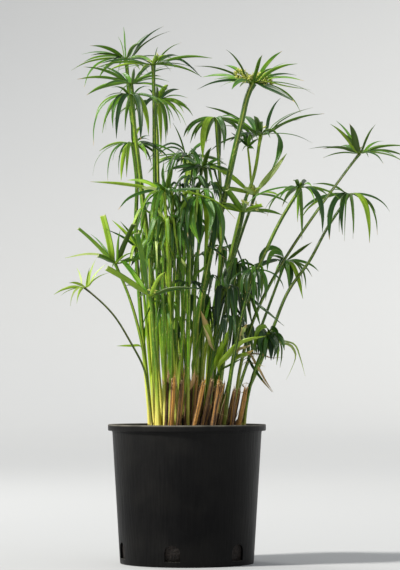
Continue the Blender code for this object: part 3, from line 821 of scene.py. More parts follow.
def smooth_line(line, count, ends=1.0):
    """Stations along a smooth curve through a line's points."""
    line = np.asarray(line, float)
    spans = np.linalg.norm(np.diff(line, axis=0), axis=1)
    slopes = np.diff(line, axis=0) / spans[:, None]
    before, after = spans[:-1, None], spans[1:, None]
    inner = (slopes[1:] * before + slopes[:-1] * after) / (before + after)
    slopes = np.vstack([slopes[:1], inner, slopes[-1:]])
    fine = []
    share = np.linspace(0, 1, 14, endpoint=False)[:, None]
    for k, span in enumerate(spans):
        fine.append(
            (2 * share**3 - 3 * share**2 + 1) * line[k]
            + (share**3 - 2 * share**2 + share) * span * slopes[k]
            + (3 * share**2 - 2 * share**3) * line[k + 1]
            + (share**3 - share**2) * span * slopes[k + 1]
        )
    fine = np.vstack([*fine, line[-1:]])
    reach = np.concatenate([[0], np.cumsum(np.linalg.norm(np.diff(fine, axis=0), axis=1))])
    wanted = np.linspace(0, 1, count) ** ends * reach[-1]
    return np.column_stack([np.interp(wanted, reach, fine[:, axis]) for axis in range(3)])


def tangents(points):
    """Directions along a line."""
    return unit(np.gradient(points, axis=0))


def squared(side, points):
    """Side directions made square to the line."""
    along = tangents(points)
    return unit(side - (side * along).sum(axis=1, keepdims=True) * along)


def rolled(side, points, angles):
    """Side directions turned about the line by angles in radians."""
    along = tangents(points)
    angles = np.broadcast_to(angles, len(points))[:, None]
    return side * np.cos(angles) + np.cross(along, side) * np.sin(angles)


def strand_mesh(name, strands):
    """The strands' lines as one mesh of edges that carries what the sweep reads."""
    mesh = bpy.data.meshes.new(name)
    points = np.vstack([s.points for s in strands])
    edges, first = [], 0
    for s in strands:
        edges += [(k, k + 1) for k in range(first, first + len(s.points) - 1)]
        first += len(s.points)
    mesh.from_pydata(points.tolist(), edges, [])
    reach = [np.concatenate([[0], np.cumsum(np.linalg.norm(np.diff(s.points, axis=0), axis=1))]) for s in strands]
    values = {
        "half_width": np.concatenate([s.half_width for s in strands]),
        "reach": np.concatenate(reach),
        "along": np.concatenate([r / r[-1] for r in reach]),
    }
    for key in ("tone", "age", "cut", "luck"):
        values[key] = np.concatenate([np.full(len(s.points), getattr(s, key)) for s in strands])
    for key, numbers in values.items():
        mesh.attributes.new(key, "FLOAT", "POINT").data.foreach_set("value", numbers.astype(np.float32))
    side = np.vstack([s.side for s in strands]).astype(np.float32)
    mesh.attributes.new("side", "FLOAT_VECTOR", "POINT").data.foreach_set("vector", side.ravel())
    return mesh


def seen(px, py, depth):
    """The point at a depth behind the pot's axis that shows at the photo's pixel."""
    flat = Vector(((px - AXIS_PX) * PIXEL, 0, POT_BOX[1].z + (RIM_PX - py) * PIXEL))
    return np.array(EYE + (flat - EYE) * ((depth - EYE.y) / -EYE.y))


def pixel_of(point):
    """The photo's pixel where a point shows."""
    point = Vector(point)
    flat = EYE + (point - EYE) * (-EYE.y / (point.y - EYE.y))
    return np.array([flat.x / PIXEL + AXIS_PX, RIM_PX - (flat.z - POT_BOX[1].z) / PIXEL])


# Reading the frame


def welded(name):
    """A CAD node's points and, for each, the points it shares an edge with."""
    work = bmesh.new()
    work.from_mesh(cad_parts[name].data)
    bmesh.ops.remove_doubles(work, verts=work.verts, dist=1e-6)
    work.verts.index_update()
    points = np.array([v.co for v in work.verts])
    near = [{e.other_vert(v).index for e in v.link_edges} for v in work.verts]
    work.free()
    return points, near


def tube_of(name):
    """The centre line of a CAD stem or stub, and its width along it."""
    points, near = welded(name)
    rings = points[np.argsort(points[:, 2])].reshape(-1, 3, 3)
    centres = rings.mean(axis=1)
    widths = np.linalg.norm(rings - centres[:, None], axis=2).mean(axis=1) * math.sqrt(3)
    return centres, widths, unit(rings[0, 0] - centres[0])


@dataclass
class Bract:
    """A bract as the CAD has it: its line from the hub to the tip, the directions above it and its width."""

    line: np.ndarray
    up: np.ndarray
    width: float


def bracts_of(name):
    """The hub and the bracts of a CAD whorl. A bract is walked ring by ring from its tip."""
    points, near = welded(name)
    walks = []
    for tip in (k for k, around in enumerate(near) if len(around) == 3):
        met, rings, ring = {tip}, [], near[tip]
        while len(ring) == 3:
            rings.insert(0, sorted(ring))
            met |= ring
            ring = set().union(*(near[k] for k in ring)) - met
        walks.append((tip, rings))
    hub = points[sorted({k for tip, rings in walks for k in rings[0]})].mean(axis=0)
    bracts = []
    for tip, rings in walks:
        root = points[rings[0]].mean(axis=0)
        line, ups, widths = [hub + 0.3 * (root - hub), root], [], []
        for ring in rings[1:]:
            corners = points[ring]
            spans = [np.linalg.norm(corners[(k + 1) % 3] - corners[(k + 2) % 3]) for k in range(3)]
            keel = int(np.argmax(spans))
            middle = (corners[(keel + 1) % 3] + corners[(keel + 2) % 3]) / 2
            line.append(middle)
            ups.append(unit(middle - corners[keel]))
            widths.append(spans[keel])
        line.append(points[tip])
        ups = [ups[0], ups[0], *ups, ups[-1]]
        bracts.append(Bract(np.array(line), np.array(ups), max(widths)))
    return hub, bracts


# Leaf whorls

BLADE_STATIONS = 15
BLADE_POINTS = 8
BLADE_WIDTH = 0.5


@dataclass
class Habit:
    """How one whorl looks: its blades' tones, its added and hanging blades, and what is cut, dried or bright."""

    tone: float = 0.36
    spread: float = 0.13
    added: int = 6
    cut_width: float = 9.0
    age: float = 0.03
    bright: tuple = ()
    dark: tuple = ()
    gather: float = 0.0
    hanging: int = 0
    length: float = 0.05
    slim: float = 1.0
    straight: tuple = ()
    hidden: tuple = ()
    reach: float = 1.0


# The photo's whorls by number; bright and dark hold the pixels of the tips that stand out, whose tones are raised or
# lowered partly for their own colour and partly as painted light and painted shade
HABITS = {
    1: Habit(0.4, 0.26, added=6, bright=((140, 69),), dark=((163, 25), (170, 29)), slim=0.88),
    2: Habit(0.38, 0.26, added=6, slim=0.86),
    3: Habit(0.4, 0.26, added=8, bright=((148, 135),), dark=((140, 138), (116, 138)), slim=0.88),
    4: Habit(0.44, 0.26, added=5, bright=((106, 70),), slim=0.88),
    5: Habit(0.4, 0.26, added=8, bright=((162, 150),), dark=((167, 134),), slim=0.92),
    6: Habit(0.42, 0.26, added=6, bright=((143, 125), (121, 181)), slim=0.92),
    7: Habit(0.4, 0.24, added=5, dark=((295, 101), (197, 88)), straight=((295, 101),), hidden=((311, 89),)),
    8: Habit(0.34, 0.2, added=5, bright=((203, 160),), dark=((221, 159),)),
    9: Habit(0.34, 0.24, added=6, hidden=((270, 169),)),
    10: Habit(0.38, 0.2, added=4, bright=((330, 123),), dark=((350, 124),)),
    11: Habit(0.62, 0.2, added=3, cut_width=0.0055, bright=((275, 170),), slim=1.15,
              hidden=((233, 177), (286, 155))),
    12: Habit(0.52, 0.24, added=5, cut_width=0.0055),
    13: Habit(0.42, 0.24, added=8),
    14: Habit(0.44, 0.22, added=5, bright=((370, 243),)),
    15: Habit(0.4, 0.26, added=3, bright=((210, 250),), gather=0.5, hanging=7, length=0.055, slim=1.35),
    16: Habit(0.42, 0.28, added=7, bright=((90, 181),), hanging=6, length=0.045, slim=0.9,
              straight=((90, 181), (217, 190))),
    17: Habit(0.5, 0.16, added=2, cut_width=0.0055, bright=((103, 215),), dark=((134, 224),), slim=1.05),
    18: Habit(0.86, 0.1, added=2, age=0.0, slim=0.9),
    19: Habit(0.5, 0.14, added=3, cut_width=0.0075, bright=((107, 268), (165, 272)),
              dark=((200, 290), (212, 291), (175, 293), (126, 285)), slim=0.95),
    20: Habit(0.24, 0.22, added=4, gather=0.62, hanging=6, length=0.046, slim=0.85, reach=0.86),
    21: Habit(0.22, 0.2, added=3, gather=0.66, hanging=3, length=0.03, slim=0.8, reach=0.72),
    22: Habit(0.34, 0.2, added=5, dark=((312, 242),), straight=((312, 242),), hidden=((303, 299),)),
    23: Habit(0.26, 0.2, added=4, bright=((292, 369),), gather=0.6, hanging=8, length=0.026, reach=0.62),
    24: Habit(0.42, 0.24, added=4, hanging=4, length=0.034, slim=0.85),
    25: Habit(0.2, 0.16, added=8, bright=((225, 177),), hanging=6, length=0.04),
}



def blade_widths(share, cut, shoulder=0.45, point=1.6, foot=0.52):
    """A blade's width along it: narrow at the foot, broad to its shoulder, then a long point or a cut end."""
    rise = np.clip(share / 0.27, 0, 1)
    foot = foot + (1 - foot) * rise * rise * (3 - 2 * rise)
    if cut:
        return foot * (1 - 0.1 * share)
    fall = np.clip((share - shoulder) / (1 - shoulder), 0, 1)
    return foot * np.maximum(1 - fall**point, 0.05)


def facing_roll(side, points, turn):
    """A roll by the turn, to the side that shows more of the blade's face from the front."""
    best = None
    for way in (turn, -turn):
        rolls = rolled(side, points, way)
        face = np.cross(rolls, tangents(points))
        shown = np.abs(face[:, 1]).mean()
        if best is None or shown > best[0]:
            best = (shown, way)
    return best[1]


def blade_of(line, up, width, tone, rng, cut=False, age=0.0, straight=False, foot=0.52):
    """A blade along a line, with its own roll, twist and sway."""
    points = smooth_line(line, BLADE_STATIONS)
    share = np.linspace(0, 1, BLADE_STATIONS)
    if cut or straight:
        straight = points[0] + (points[-1] - points[0]) * share[:, None]
        points = straight + (points - straight) * 0.3
    chords = np.concatenate([[0], np.cumsum(np.linalg.norm(np.diff(line, axis=0), axis=1))])
    ups = np.column_stack([np.interp(share, chords / chords[-1], up[:, axis]) for axis in range(3)])
    side = squared(np.cross(ups, tangents(points)), points)
    length = chords[-1]
    sway = rng.uniform(-0.022, 0.022) * length * np.sin(np.pi * share) * (0 if cut else 1)
    points = points + side * (sway * np.sin(2.2 * share + rng.uniform(0, 3)))[:, None]
    side = squared(side, points)
    roll = facing_roll(side, points, math.radians(rng.uniform(22, 52)))
    twist = math.radians(rng.uniform(-30, 30)) * share
    side = rolled(side, points, roll * np.clip(share / 0.3, 0.25, 1) + twist)
    widths = blade_widths(share, cut, rng.uniform(0.36, 0.56), rng.uniform(1.25, 2.0), foot)
    return Strand(
        points,
        side,
        np.maximum(widths * width * BLADE_WIDTH, 0.00018),
        tone=tone,
        age=age,
        cut=1.0 if cut else 0.0,
        luck=rng.random(),
    )


def turned_about(line, hub, turn, tilt, scale):
    """A line turned about the hub's upright, tilted and scaled, for a blade between two others."""
    spun = np.array(Matrix.Rotation(turn, 3, "Z"))
    moved = (line - hub) @ spun.T
    outward = unit([moved[-1][0], moved[-1][1], 0.0])
    axis = Vector(np.cross([0, 0, 1], outward))
    tilted = np.array(Matrix.Rotation(tilt, 3, axis))
    return hub + (moved @ tilted.T) * scale, spun, tilted


def gathered(bract, hub, share, reach):
    """A bract's line and ups, shortened, pulled in towards the stem and let down, the more the farther out."""
    out = (bract.line - hub) * reach
    level = out * [1, 1, 0]
    far = (np.linalg.norm(out, axis=1) / np.linalg.norm(out[-1]))[:, None] * share
    line = hub + out - level * far * 0.8
    line[:, 2] -= (far[:, 0] * np.linalg.norm(level, axis=1)) * 0.85
    return line, unit(bract.up + unit(level) * far * 2)


def arched(hub, turn, length, droop):
    """A blade's line from a hub: out and over. The more it droops, the closer to the stem it hangs."""
    outward = np.array([math.cos(turn), math.sin(turn), 0.0])
    outs = np.array([0.0, 0.36, 0.72, 0.97]) - droop * np.array([0.0, 0.14, 0.38, 0.55])
    ups = np.array([0.0, 0.2, 0.06, -0.22]) - droop * np.array([0.0, 0.06, 0.45, 0.68])
    return hub + length * (outs[:, None] * outward + ups[:, None] * np.array([0.0, 0.0, 1.0]))


def head_blades(hub, count, length, droop, width, tone, rng):
    """Blades all round a hub, each with its own length and droop."""
    strands = []
    for k in range(count):
        turn = 2 * math.pi * (k + rng.uniform(-0.3, 0.3)) / count
        line = arched(hub, turn, length * rng.uniform(0.65, 1.15), droop + rng.uniform(-0.3, 0.2))
        outward = np.array([math.cos(turn), math.sin(turn), 0.0])
        up = unit(np.array([[0, 0, 1.0]] * 2 + [[0, 0, 0.5]] * 2) + outward * 0.8 * max(droop, 0.0))
        shade = tone + rng.choice((-0.16, -0.04, 0.08, 0.2, 0.4)) * (0.55 if tone < 0.25 else 1)
        strands.append(blade_of(line, up, width * rng.uniform(0.7, 1.2), shade, rng, age=0.02))
    return strands


@dataclass
class Curl:
    """A blade that curls or hangs its own way: the photo's pixels along it from the hub, and how deep its tip lies."""

    line: tuple
    width: float
    tone: float
    out: float = -0.02


CURLS = {
    24: (
        Curl(((180, 146), (172, 143), (160, 148), (147, 160)), 0.0032, 0.14, 0.0),
        Curl(((179, 149), (170, 147), (160, 153), (154, 163)), 0.0034, 0.2, -0.004),
        Curl(((180, 159), (168, 159), (156, 165), (148, 173)), 0.0032, 0.14, -0.008),
        Curl(((192, 150), (199, 146), (204, 142)), 0.0034, 0.3, 0.0),
        Curl(((189, 159), (194, 166), (203, 174)), 0.0085, 0.8, -0.02),
        Curl(((186, 160), (189, 172), (188, 187)), 0.009, 0.85, -0.02),
    ),
    4: (Curl(((165, 60), (180, 58.5), (190, 65), (201, 76)), 0.004, 0.1, 0.0),),
    7: (Curl(((262, 80), (284, 85), (311, 89)), 0.0046, 0.72, -0.02),),
    9: (Curl(((267, 130), (275, 131), (280, 141), (279, 155), (271, 171)), 0.0092, 0.34),),
    11: (
        Curl(((247, 190), (233, 178), (204, 159)), 0.0075, 0.68),
        Curl(((261, 187), (274, 171), (287, 153)), 0.0086, 0.9, 0.0),
    ),
    15: (
        Curl(((193, 202), (191, 216), (199, 243)), 0.0135, 0.5, -0.034),
        Curl(((190, 199), (183, 207), (181, 226)), 0.0066, 0.62, -0.03),
        Curl(((206, 200), (212, 213), (208, 236)), 0.0105, 0.4, -0.034),
        Curl(((208, 198), (216, 206), (221, 227)), 0.0075, 0.4, -0.025),
    ),
    16: (
        Curl(((164, 184), (162, 175), (164, 162)), 0.0044, 0.5, 0.0),
        Curl(((167, 182), (169, 168), (175, 155), (181, 147)), 0.0034, 0.2, 0.0),
        Curl(((168, 184), (171, 176), (173, 166)), 0.0036, 0.4, 0.0),
        Curl(((158, 192), (151, 190), (142, 187)), 0.0095, 1.1, -0.01),
    ),
    17: (Curl(((104, 256), (89, 254), (65, 258)), 0.0036, 0.95),),
    20: (
        Curl(((230, 265), (226, 275), (232, 300), (245, 322)), 0.0085, 0.2, -0.04),
        Curl(((233, 262), (229, 262), (227, 272)), 0.008, 0.5, -0.03),
    ),
    22: (
        Curl(((279, 251), (270, 248), (262, 255), (259, 268)), 0.0075, 0.42, -0.01),
        Curl(((280, 254), (273, 252), (268, 259), (267, 272)), 0.0075, 0.5, -0.016),
        Curl(((291, 263), (298, 276), (303, 299)), 0.0056, 0.74, -0.016),
        Curl(((287, 264), (291, 274), (289, 290)), 0.0095, 0.2, -0.012),
    ),
    23: (
        Curl(((266, 327), (260, 328), (256, 336), (254, 350)), 0.007, 0.66),
        Curl(((272, 328), (276, 330), (279, 342)), 0.006, 0.3),
        Curl(((281, 343), (290, 345), (296, 354), (292, 368), (286, 380)), 0.0036, 0.95),
        Curl(((284, 341), (294, 344), (301, 359), (305, 376)), 0.0024, 0.9, -0.015),
        Curl(((262, 334), (259, 344), (262, 358)), 0.009, 0.14, -0.03),
        Curl(((272, 336), (277, 346), (273, 360)), 0.01, 0.08, -0.03),
    ),
}


def curl_blades(number, hub, rng):
    """The curls of one whorl."""
    strands = []
    for curl in CURLS.get(number, ()):
        line = np.vstack([hub, pixel_line(curl.line, (hub[1] + curl.out / 2, hub[1] + curl.out))])
        strands.append(free_blade(line, curl.width, curl.tone, rng, age=0.0))
    return strands


def near_spot(spots, line):
    """Whether a line's tip shows near one of some pixels of the photo."""
    shown = pixel_of(line[-1])
    return any(np.linalg.norm(shown - spot) < 5 for spot in spots)


def tone_of(habit, line, rng):
    """A blade's tone, set by where its tip shows in the photo or by chance."""
    # Tips listed as bright or dark get a set tone: partly their own colour, partly painted light and painted shade.
    if near_spot(habit.bright, line):
        return 0.72
    if near_spot(habit.dark, line):
        return 0.1
    return habit.tone + rng.uniform(-habit.spread, habit.spread)


def whorl_strands(number):
    """The blades of one whorl: those of the CAD, and finer ones between them."""
    habit = HABITS[number]
    rng = random.Random(100 + number)
    hub, bracts = bracts_of(f"leaf_whorl_{number:02d}")
    strands = []
    for bract in bracts:
        if near_spot(habit.hidden, bract.line):
            continue
        cut = bract.width >= habit.cut_width
        age = rng.choice((0.0, habit.age, habit.age * 2.5))
        tone = tone_of(habit, bract.line, rng)
        line, up = gathered(bract, hub, habit.gather, habit.reach)
        straight = near_spot(habit.straight, bract.line)
        strands.append(blade_of(line, up, bract.width * habit.slim, tone, rng, cut, 0.0 if cut else age, straight))
    for k in range(habit.added):
        bract = bracts[(k * 5 + 2) % len(bracts)]
        turn = math.radians(rng.choice((-1, 1)) * rng.uniform(11, 30))
        tilt = math.radians(rng.uniform(-9, 12))
        line, spun, tilted = turned_about(bract.line, hub, turn, tilt, rng.uniform(0.55, 0.92))
        up = bract.up @ spun.T @ tilted.T
        tone = habit.tone + rng.uniform(-habit.spread, habit.spread) - 0.04
        width = bract.width * habit.slim * rng.uniform(0.5, 0.85)
        strands.append(blade_of(line, up, width, tone, rng, False, habit.age))
    strands += head_blades(hub, habit.hanging, habit.length, 0.9, 0.005, habit.tone, rng)
    strands += curl_blades(number, hub, rng)
    return hub, strands


def blade_piece(name, strands, looks):
    """One piece swept from blades."""
    return grown(
        name,
        strand_mesh(name, strands),
        "blade",
        {
            "Points": BLADE_POINTS,
            "Fold": looks.fold,
            "Thickness": looks.thickness,
            "Keel": looks.keel,
            "Finish": finish_of("blade"),
        },
    )


def make_whorls(looks):
    """Every leaf whorl, in place of its CAD node."""
    for number in SHOOTS:
        hub, strands = whorl_strands(number)
        piece = blade_piece(f"umbrella_{number:02d}", strands, looks)
        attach(piece, "root")
        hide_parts(f"leaf_whorl_{number:02d}")


# Stems

CULM_STATIONS = 46
CULM_POINTS = 18
CULM_TONES = {
    1: (0.5, 0.9), 2: (0.4, 1.0), 3: (0.6, 1.0), 4: (0.3, 0.2), 5: (0.62, 0.5), 6: (0.36, 1.0),
    7: (0.3, 0.4), 8: (0.46, 0.3), 9: (0.64, 0.8), 10: (0.2, 0.4), 11: (0.24, 0.4), 12: (0.3, 0.3),
    13: (0.36, 0.4), 14: (0.24, 0.3), 15: (0.44, 0.6), 16: (0.66, 0.9), 17: (0.6, 1.0), 18: (0.06, 0.3),
    19: (0.5, 1.0), 20: (0.26, 0.4), 21: (0.16, 0.3), 22: (0.3, 0.3), 23: (0.36, 0.5), 24: (0.36, 0.5),
    25: (0.2, 0.4),
}
STOUT_CULMS = {1: 1.15, 3: 1.1, 7: 1.35, 8: 1.1, 9: 1.1, 10: 1.1}


def culm_strand(number, looks):
    """A stem's strand, from just inside the soil up into its whorl's hub."""
    centres, widths, corner = tube_of(f"stem_{number:02d}")
    hub, bracts = bracts_of(f"leaf_whorl_{number:02d}")
    below = centres[0] - unit(centres[1] - centres[0]) * 0.003
    points = smooth_line(np.vstack([below, centres, hub]), CULM_STATIONS)
    share = np.linspace(0, 1, CULM_STATIONS)
    width = np.interp(share, np.linspace(0, 1, len(widths)), widths)
    length = np.linalg.norm(np.diff(points, axis=0), axis=1).sum()
    near_hub = np.clip(1 - (1 - share) * length / 0.014, 0, 1)
    height = points[:, 2] - SOIL_BOX[1].z
    width = width * (1 + looks.flare * near_hub**1.5 + looks.swell * np.exp(-np.maximum(height, 0) / 0.022))
    rng = random.Random(500 + number)
    side = squared(np.broadcast_to(corner, points.shape), points)
    side = rolled(side, points, math.radians(rng.uniform(-25, 25)) * share)
    tone, foot = CULM_TONES[number]
    width = width * STOUT_CULMS.get(number, 1.0)
    return Strand(points, side, width * 0.48, tone=tone, age=foot, luck=rng.random())


def make_stems(looks):
    """Every stem, in place of its CAD node."""
    for number in SHOOTS:
        name = f"culm_{number:02d}"
        values = {"Points": CULM_POINTS, "Corner": looks.corner, "Flute": 0.03, "Finish": finish_of("culm")}
        piece = grown(name, strand_mesh(name, [culm_strand(number, looks)]), "culm", values)
        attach(piece, "root")
        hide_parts(f"stem_{number:02d}")


# Stubs

STUB_STATIONS = 10
STUB_FIBRES = 8
STUB_TONES = {1: 0.2, 2: 0.86, 3: 0.5, 4: 0.78, 5: 0.34, 6: 0.76, 7: 0.5, 8: 0.58}
STUB_SPIKES = {1: 0.006, 2: 0.015, 3: 0.02, 4: 0.008, 5: 0.007, 6: 0.005, 7: 0.005, 8: 0.004}


def fibre(line, top, offset, half, tone, flat, rng):
    """One fibre of a stub, beside the stub's line, up to a share of its height."""
    fine = smooth_line(line, 30)
    wanted = np.linspace(0, top, STUB_STATIONS) * 29
    points = np.column_stack([np.interp(wanted, np.arange(30), fine[:, axis]) for axis in range(3)])
    across = squared(np.broadcast_to([1.0, 0.0, 0.0], points.shape), points)
    other = np.cross(tangents(points), across)
    turn = math.atan2(offset[1], offset[0]) + np.linspace(0, rng.uniform(-0.4, 0.4), STUB_STATIONS)
    reach = math.hypot(*offset)
    points = points + reach * (across * np.cos(turn)[:, None] + other * np.sin(turn)[:, None])
    share = np.linspace(0, 1, STUB_STATIONS)
    taper = 1 - (0.1 if flat else 0.85) * np.clip((share - 0.8) / 0.2, 0, 1)
    return Strand(points, across, half * taper, tone=tone, cut=float(flat), luck=rng.random())


def stub_strands(centres, widths, tone, rng, fray, spike=0.004):
    """A dry stub: fibres round a dark core, most cut flat, some split to a point, and two taller spikes."""
    below = centres[0] - unit(centres[1] - centres[0]) * 0.002
    line = np.vstack([below, centres])
    radius = float(np.mean(widths)) * 0.42
    strands = [fibre(line, 1 - fray * 0.8, (0.0001, 0), radius * 0.8, -0.15, True, rng)]
    for k in range(STUB_FIBRES):
        turn = 2 * math.pi * (k + rng.uniform(-0.3, 0.3)) / STUB_FIBRES
        offset = (radius * 0.72 * math.cos(turn), radius * 0.72 * math.sin(turn))
        shade = tone + rng.choice((-0.5, -0.3, -0.08, 0.08, 0.22))
        flat = rng.random() < 0.55
        top = 1 - rng.uniform(0, fray * (0.7 if flat else 0.3))
        strands.append(fibre(line, top, offset, radius * rng.uniform(0.26, 0.46), shade, flat, rng))
    rise = unit(line[-1] - line[-2])
    for height in (spike, spike * 0.45):
        turn = rng.uniform(-2.6, -0.5)
        taller = np.vstack([line, line[-1] + rise * height])
        offset = (radius * 0.8 * math.cos(turn), radius * 0.8 * math.sin(turn))
        strands.append(fibre(taller, 1.0, offset, radius * 0.24, tone + 0.35, False, rng))
    return strands


def make_stubs(looks):
    """Every dry stub, in place of its CAD node."""
    for number in STUBS:
        rng = random.Random(800 + number)
        centres, widths, corner = tube_of(f"cut_stub_{number}")
        name = f"dry_stub_{number}"
        strands = stub_strands(centres, widths, STUB_TONES[number], rng, looks.fray, STUB_SPIKES[number])
        if number == 6:
            fork = centres.copy()
            fork[-1] += np.array([0.0045, -0.001, -0.006])
            fork[-2] += np.array([0.001, 0.0, 0.0])
            strands += stub_strands(fork, widths * 0.6, 0.6, rng, looks.fray)
        piece = grown(name, strand_mesh(name, strands), "culm", stub_values())
        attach(piece, "root")
        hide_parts(f"cut_stub_{number}")


def stub_values():
    """The sweep's values for a stub's fibres."""
    return {"Points": 8, "Corner": 0.1, "Flute": 0.04, "Finish": finish_of("dry")}


# Young shoots and free leaves


def free_blade(line, width, tone, rng, cut=False, age=0.0):
    """A blade along a line of its own, its face turned up."""
    line = np.asarray(line, float)
    along = tangents(line)
    upward = np.array([0.0, -0.25, 1.0])
    up = unit(upward - (along @ upward)[:, None] * along)
    return blade_of(line, up, width, tone, rng, cut, age, foot=0.24)


def pixel_line(pixels, depths):
    """A line through the photo's pixels, its depth going evenly from the first to the last."""
    shares = np.linspace(0, 1, len(pixels))
    return np.array([seen(px, py, depths[0] + (depths[1] - depths[0]) * s) for (px, py), s in zip(pixels, shares)])


@dataclass
class YoungShoot:
    """A young stem by the pixels of its line from the foot up, and its umbrella of blades."""

    line: tuple
    depths: tuple
    tone: float = 0.4
    blade_tone: float = 0.26
    length: float = 0.042
    droop: float = 0.6
    blades: int = 9
    width: float = 0.0044
    foot: float = 0.6
    tips: tuple = ()


YOUNG_SHOOTS = {
    1: YoungShoot(((157, 424), (150, 350), (147, 285), (146, 236)), (-0.028, 0.012), 0.5, 0.5, 0.036, foot=1.0),
    2: YoungShoot(((169, 424), (161, 340), (158, 262), (158, 208)), (-0.036, -0.02), 0.4, 0.3, foot=0.9),
    3: YoungShoot(((177, 424), (177, 350), (176, 290), (173, 234)), (0.02, 0.034), 0.6, 0.4, foot=0.9),
    4: YoungShoot(((187, 424), (188, 350), (188, 286)), (-0.03, -0.062), 0.5, 0.1, 0.03, 0.15, 12),
    5: YoungShoot(((184, 424), (182, 340), (184, 270), (186, 222)), (0.004, -0.03), 0.45, 0.18),
    6: YoungShoot(((209, 424), (217, 350), (219, 281)), (0.03, 0.028), 0.4, 0.16, 0.04, 0.7),
    7: YoungShoot(((216, 424), (226, 350), (236, 300)), (-0.02, -0.04), 0.36, 0.1, 0.045, 0.9, 11),
    8: YoungShoot(((222, 424), (233, 362), (242, 318), (250, 286)), (0.01, 0.03), 0.46, 0.14, 0.032, 0.9, 7),
    9: YoungShoot(((198, 424), (203, 350), (205, 290), (208, 232)), (0.034, 0.05), 0.5, 0.16),
    10: YoungShoot(((163, 424), (165, 350), (168, 290), (170, 262)), (-0.01, -0.045), 0.45, 0.45, foot=1.0),
    11: YoungShoot(((160, 424), (156, 350), (152, 252)), (0.03, 0.045), 0.3, 0.25, 0.045, 0.8),
    12: YoungShoot(((166, 424), (166, 340), (163, 234)), (0.038, 0.05), 0.2, 0.12, 0.05, 0.8),
    13: YoungShoot(((172, 424), (176, 330), (180, 187)), (-0.008, -0.05), 0.3, 0.06, 0.03, 0.5, 11),
    14: YoungShoot(((155, 424), (148, 340), (140, 251)), (-0.01, -0.04), 0.5, 0.6, 0.04, 0.7, 5, foot=1.0,
                   tips=((106, 229), (112, 220), (120, 221), (128, 231), (152, 230), (131, 266), (149, 236))),
    15: YoungShoot(((181, 424), (188, 340), (196, 258)), (0.03, 0.04), 0.3, 0.15, 0.042, 0.8),
    16: YoungShoot(((190, 424), (184, 340), (180, 246)), (0.044, 0.052), 0.25, 0.12, 0.05, 0.9),
    17: YoungShoot(((203, 424), (216, 350), (228, 292)), (-0.022, -0.05), 0.3, 0.06, 0.05, 1.0, 11),
    18: YoungShoot(((206, 424), (224, 350), (241, 284)), (0.024, 0.04), 0.3, 0.08, 0.036, 1.0),
    19: YoungShoot(((212, 424), (222, 370), (231, 320)), (-0.03, -0.055), 0.3, 0.06, 0.045, 0.95, 11),
    20: YoungShoot(((196, 424), (201, 360), (206, 312)), (0.0, -0.01), 0.5, 0.12, 0.045, 0.9),
    21: YoungShoot(((174, 424), (171, 360), (168, 308)), (-0.038, -0.058), 0.7, 0.55, 0.045, 0.8, 8, foot=0.9),
    22: YoungShoot(((194, 424), (188, 370), (183, 322)), (0.02, 0.01), 0.7, 0.3, 0.042, 0.9, foot=0.9),
    23: YoungShoot(((218, 424), (232, 370), (244, 330)), (0.008, 0.02), 0.3, 0.1, 0.045, 0.9),
    24: YoungShoot(((162, 424), (159, 370), (158, 300)), (0.01, 0.02), 0.2, 0.3, 0.045, 0.8, foot=0.9),
    25: YoungShoot(((201, 424), (214, 340), (224, 250)), (0.05, 0.06), 0.3, 0.1, 0.04, 0.9),
    26: YoungShoot(((184, 424), (193, 330), (199, 300)), (-0.02, 0.0), 0.6, 0.1, 0.045, 0.9, foot=0.9),
    27: YoungShoot(((175, 424), (184, 320), (193, 181)), (-0.04, -0.06), 0.3, 0.16, 0.034, 0.35, 12),
    28: YoungShoot(((199, 424), (203, 320), (208, 187)), (-0.012, -0.04), 0.3, 0.14, 0.034, 0.5, 11),
    29: YoungShoot(((168, 424), (170, 320), (172, 199)), (-0.05, -0.085), 0.35, 0.26, 0.034, 0.6, 10, foot=0.7),
    30: YoungShoot(((155, 424), (153, 330), (150, 214)), (-0.02, -0.075), 0.3, 0.48, 0.038, 0.6, 9, foot=1.0),
    31: YoungShoot(((165, 424), (163, 330), (164, 222)), (-0.055, -0.09), 0.3, 0.4, 0.042, 0.8, 10, foot=1.0),
    32: YoungShoot(((170, 424), (172, 330), (176, 228)), (-0.058, -0.085), 0.2, 0.2, 0.045, 0.9, 10),
    33: YoungShoot(((157, 424), (157, 330), (157, 246)), (-0.03, -0.08), 0.35, 0.52, 0.042, 0.8, 9, foot=1.0),
    34: YoungShoot(((188, 424), (189, 330), (190, 214)), (-0.052, -0.085), 0.3, 0.2, 0.04, 0.8, 10),
}

# The young shoot that grows on from a whorl's hub
HUB_SHOOT = YoungShoot(
    ((254, 193), (252, 185), (250, 165), (248, 147)), (0.054, 0.05), 0.7, 0.3, 0.014, 0.3, 3, width=0.0036,
    tips=((231, 132), (237, 137), (242, 129), (247, 131), (250, 133), (259, 138), (254, 148)),
)


def tip_blades(hub, shoot, rng):
    """Straight blades from a hub to their tips' pixels, for a head that the photo shows clearly."""
    strands = []
    for spot in shoot.tips:
        tip = seen(*spot, hub[1] + rng.uniform(-0.02, 0.02))
        middle = (hub + tip) / 2 + np.array([0, 0, 0.06 * np.linalg.norm(tip - hub)])
        tone = shoot.blade_tone + rng.choice((-0.3, -0.1, 0.1, 0.2))
        strands.append(free_blade(np.array([hub, middle, tip]), 0.005 * rng.uniform(0.7, 1.1), tone, rng, age=0.02))
    return strands


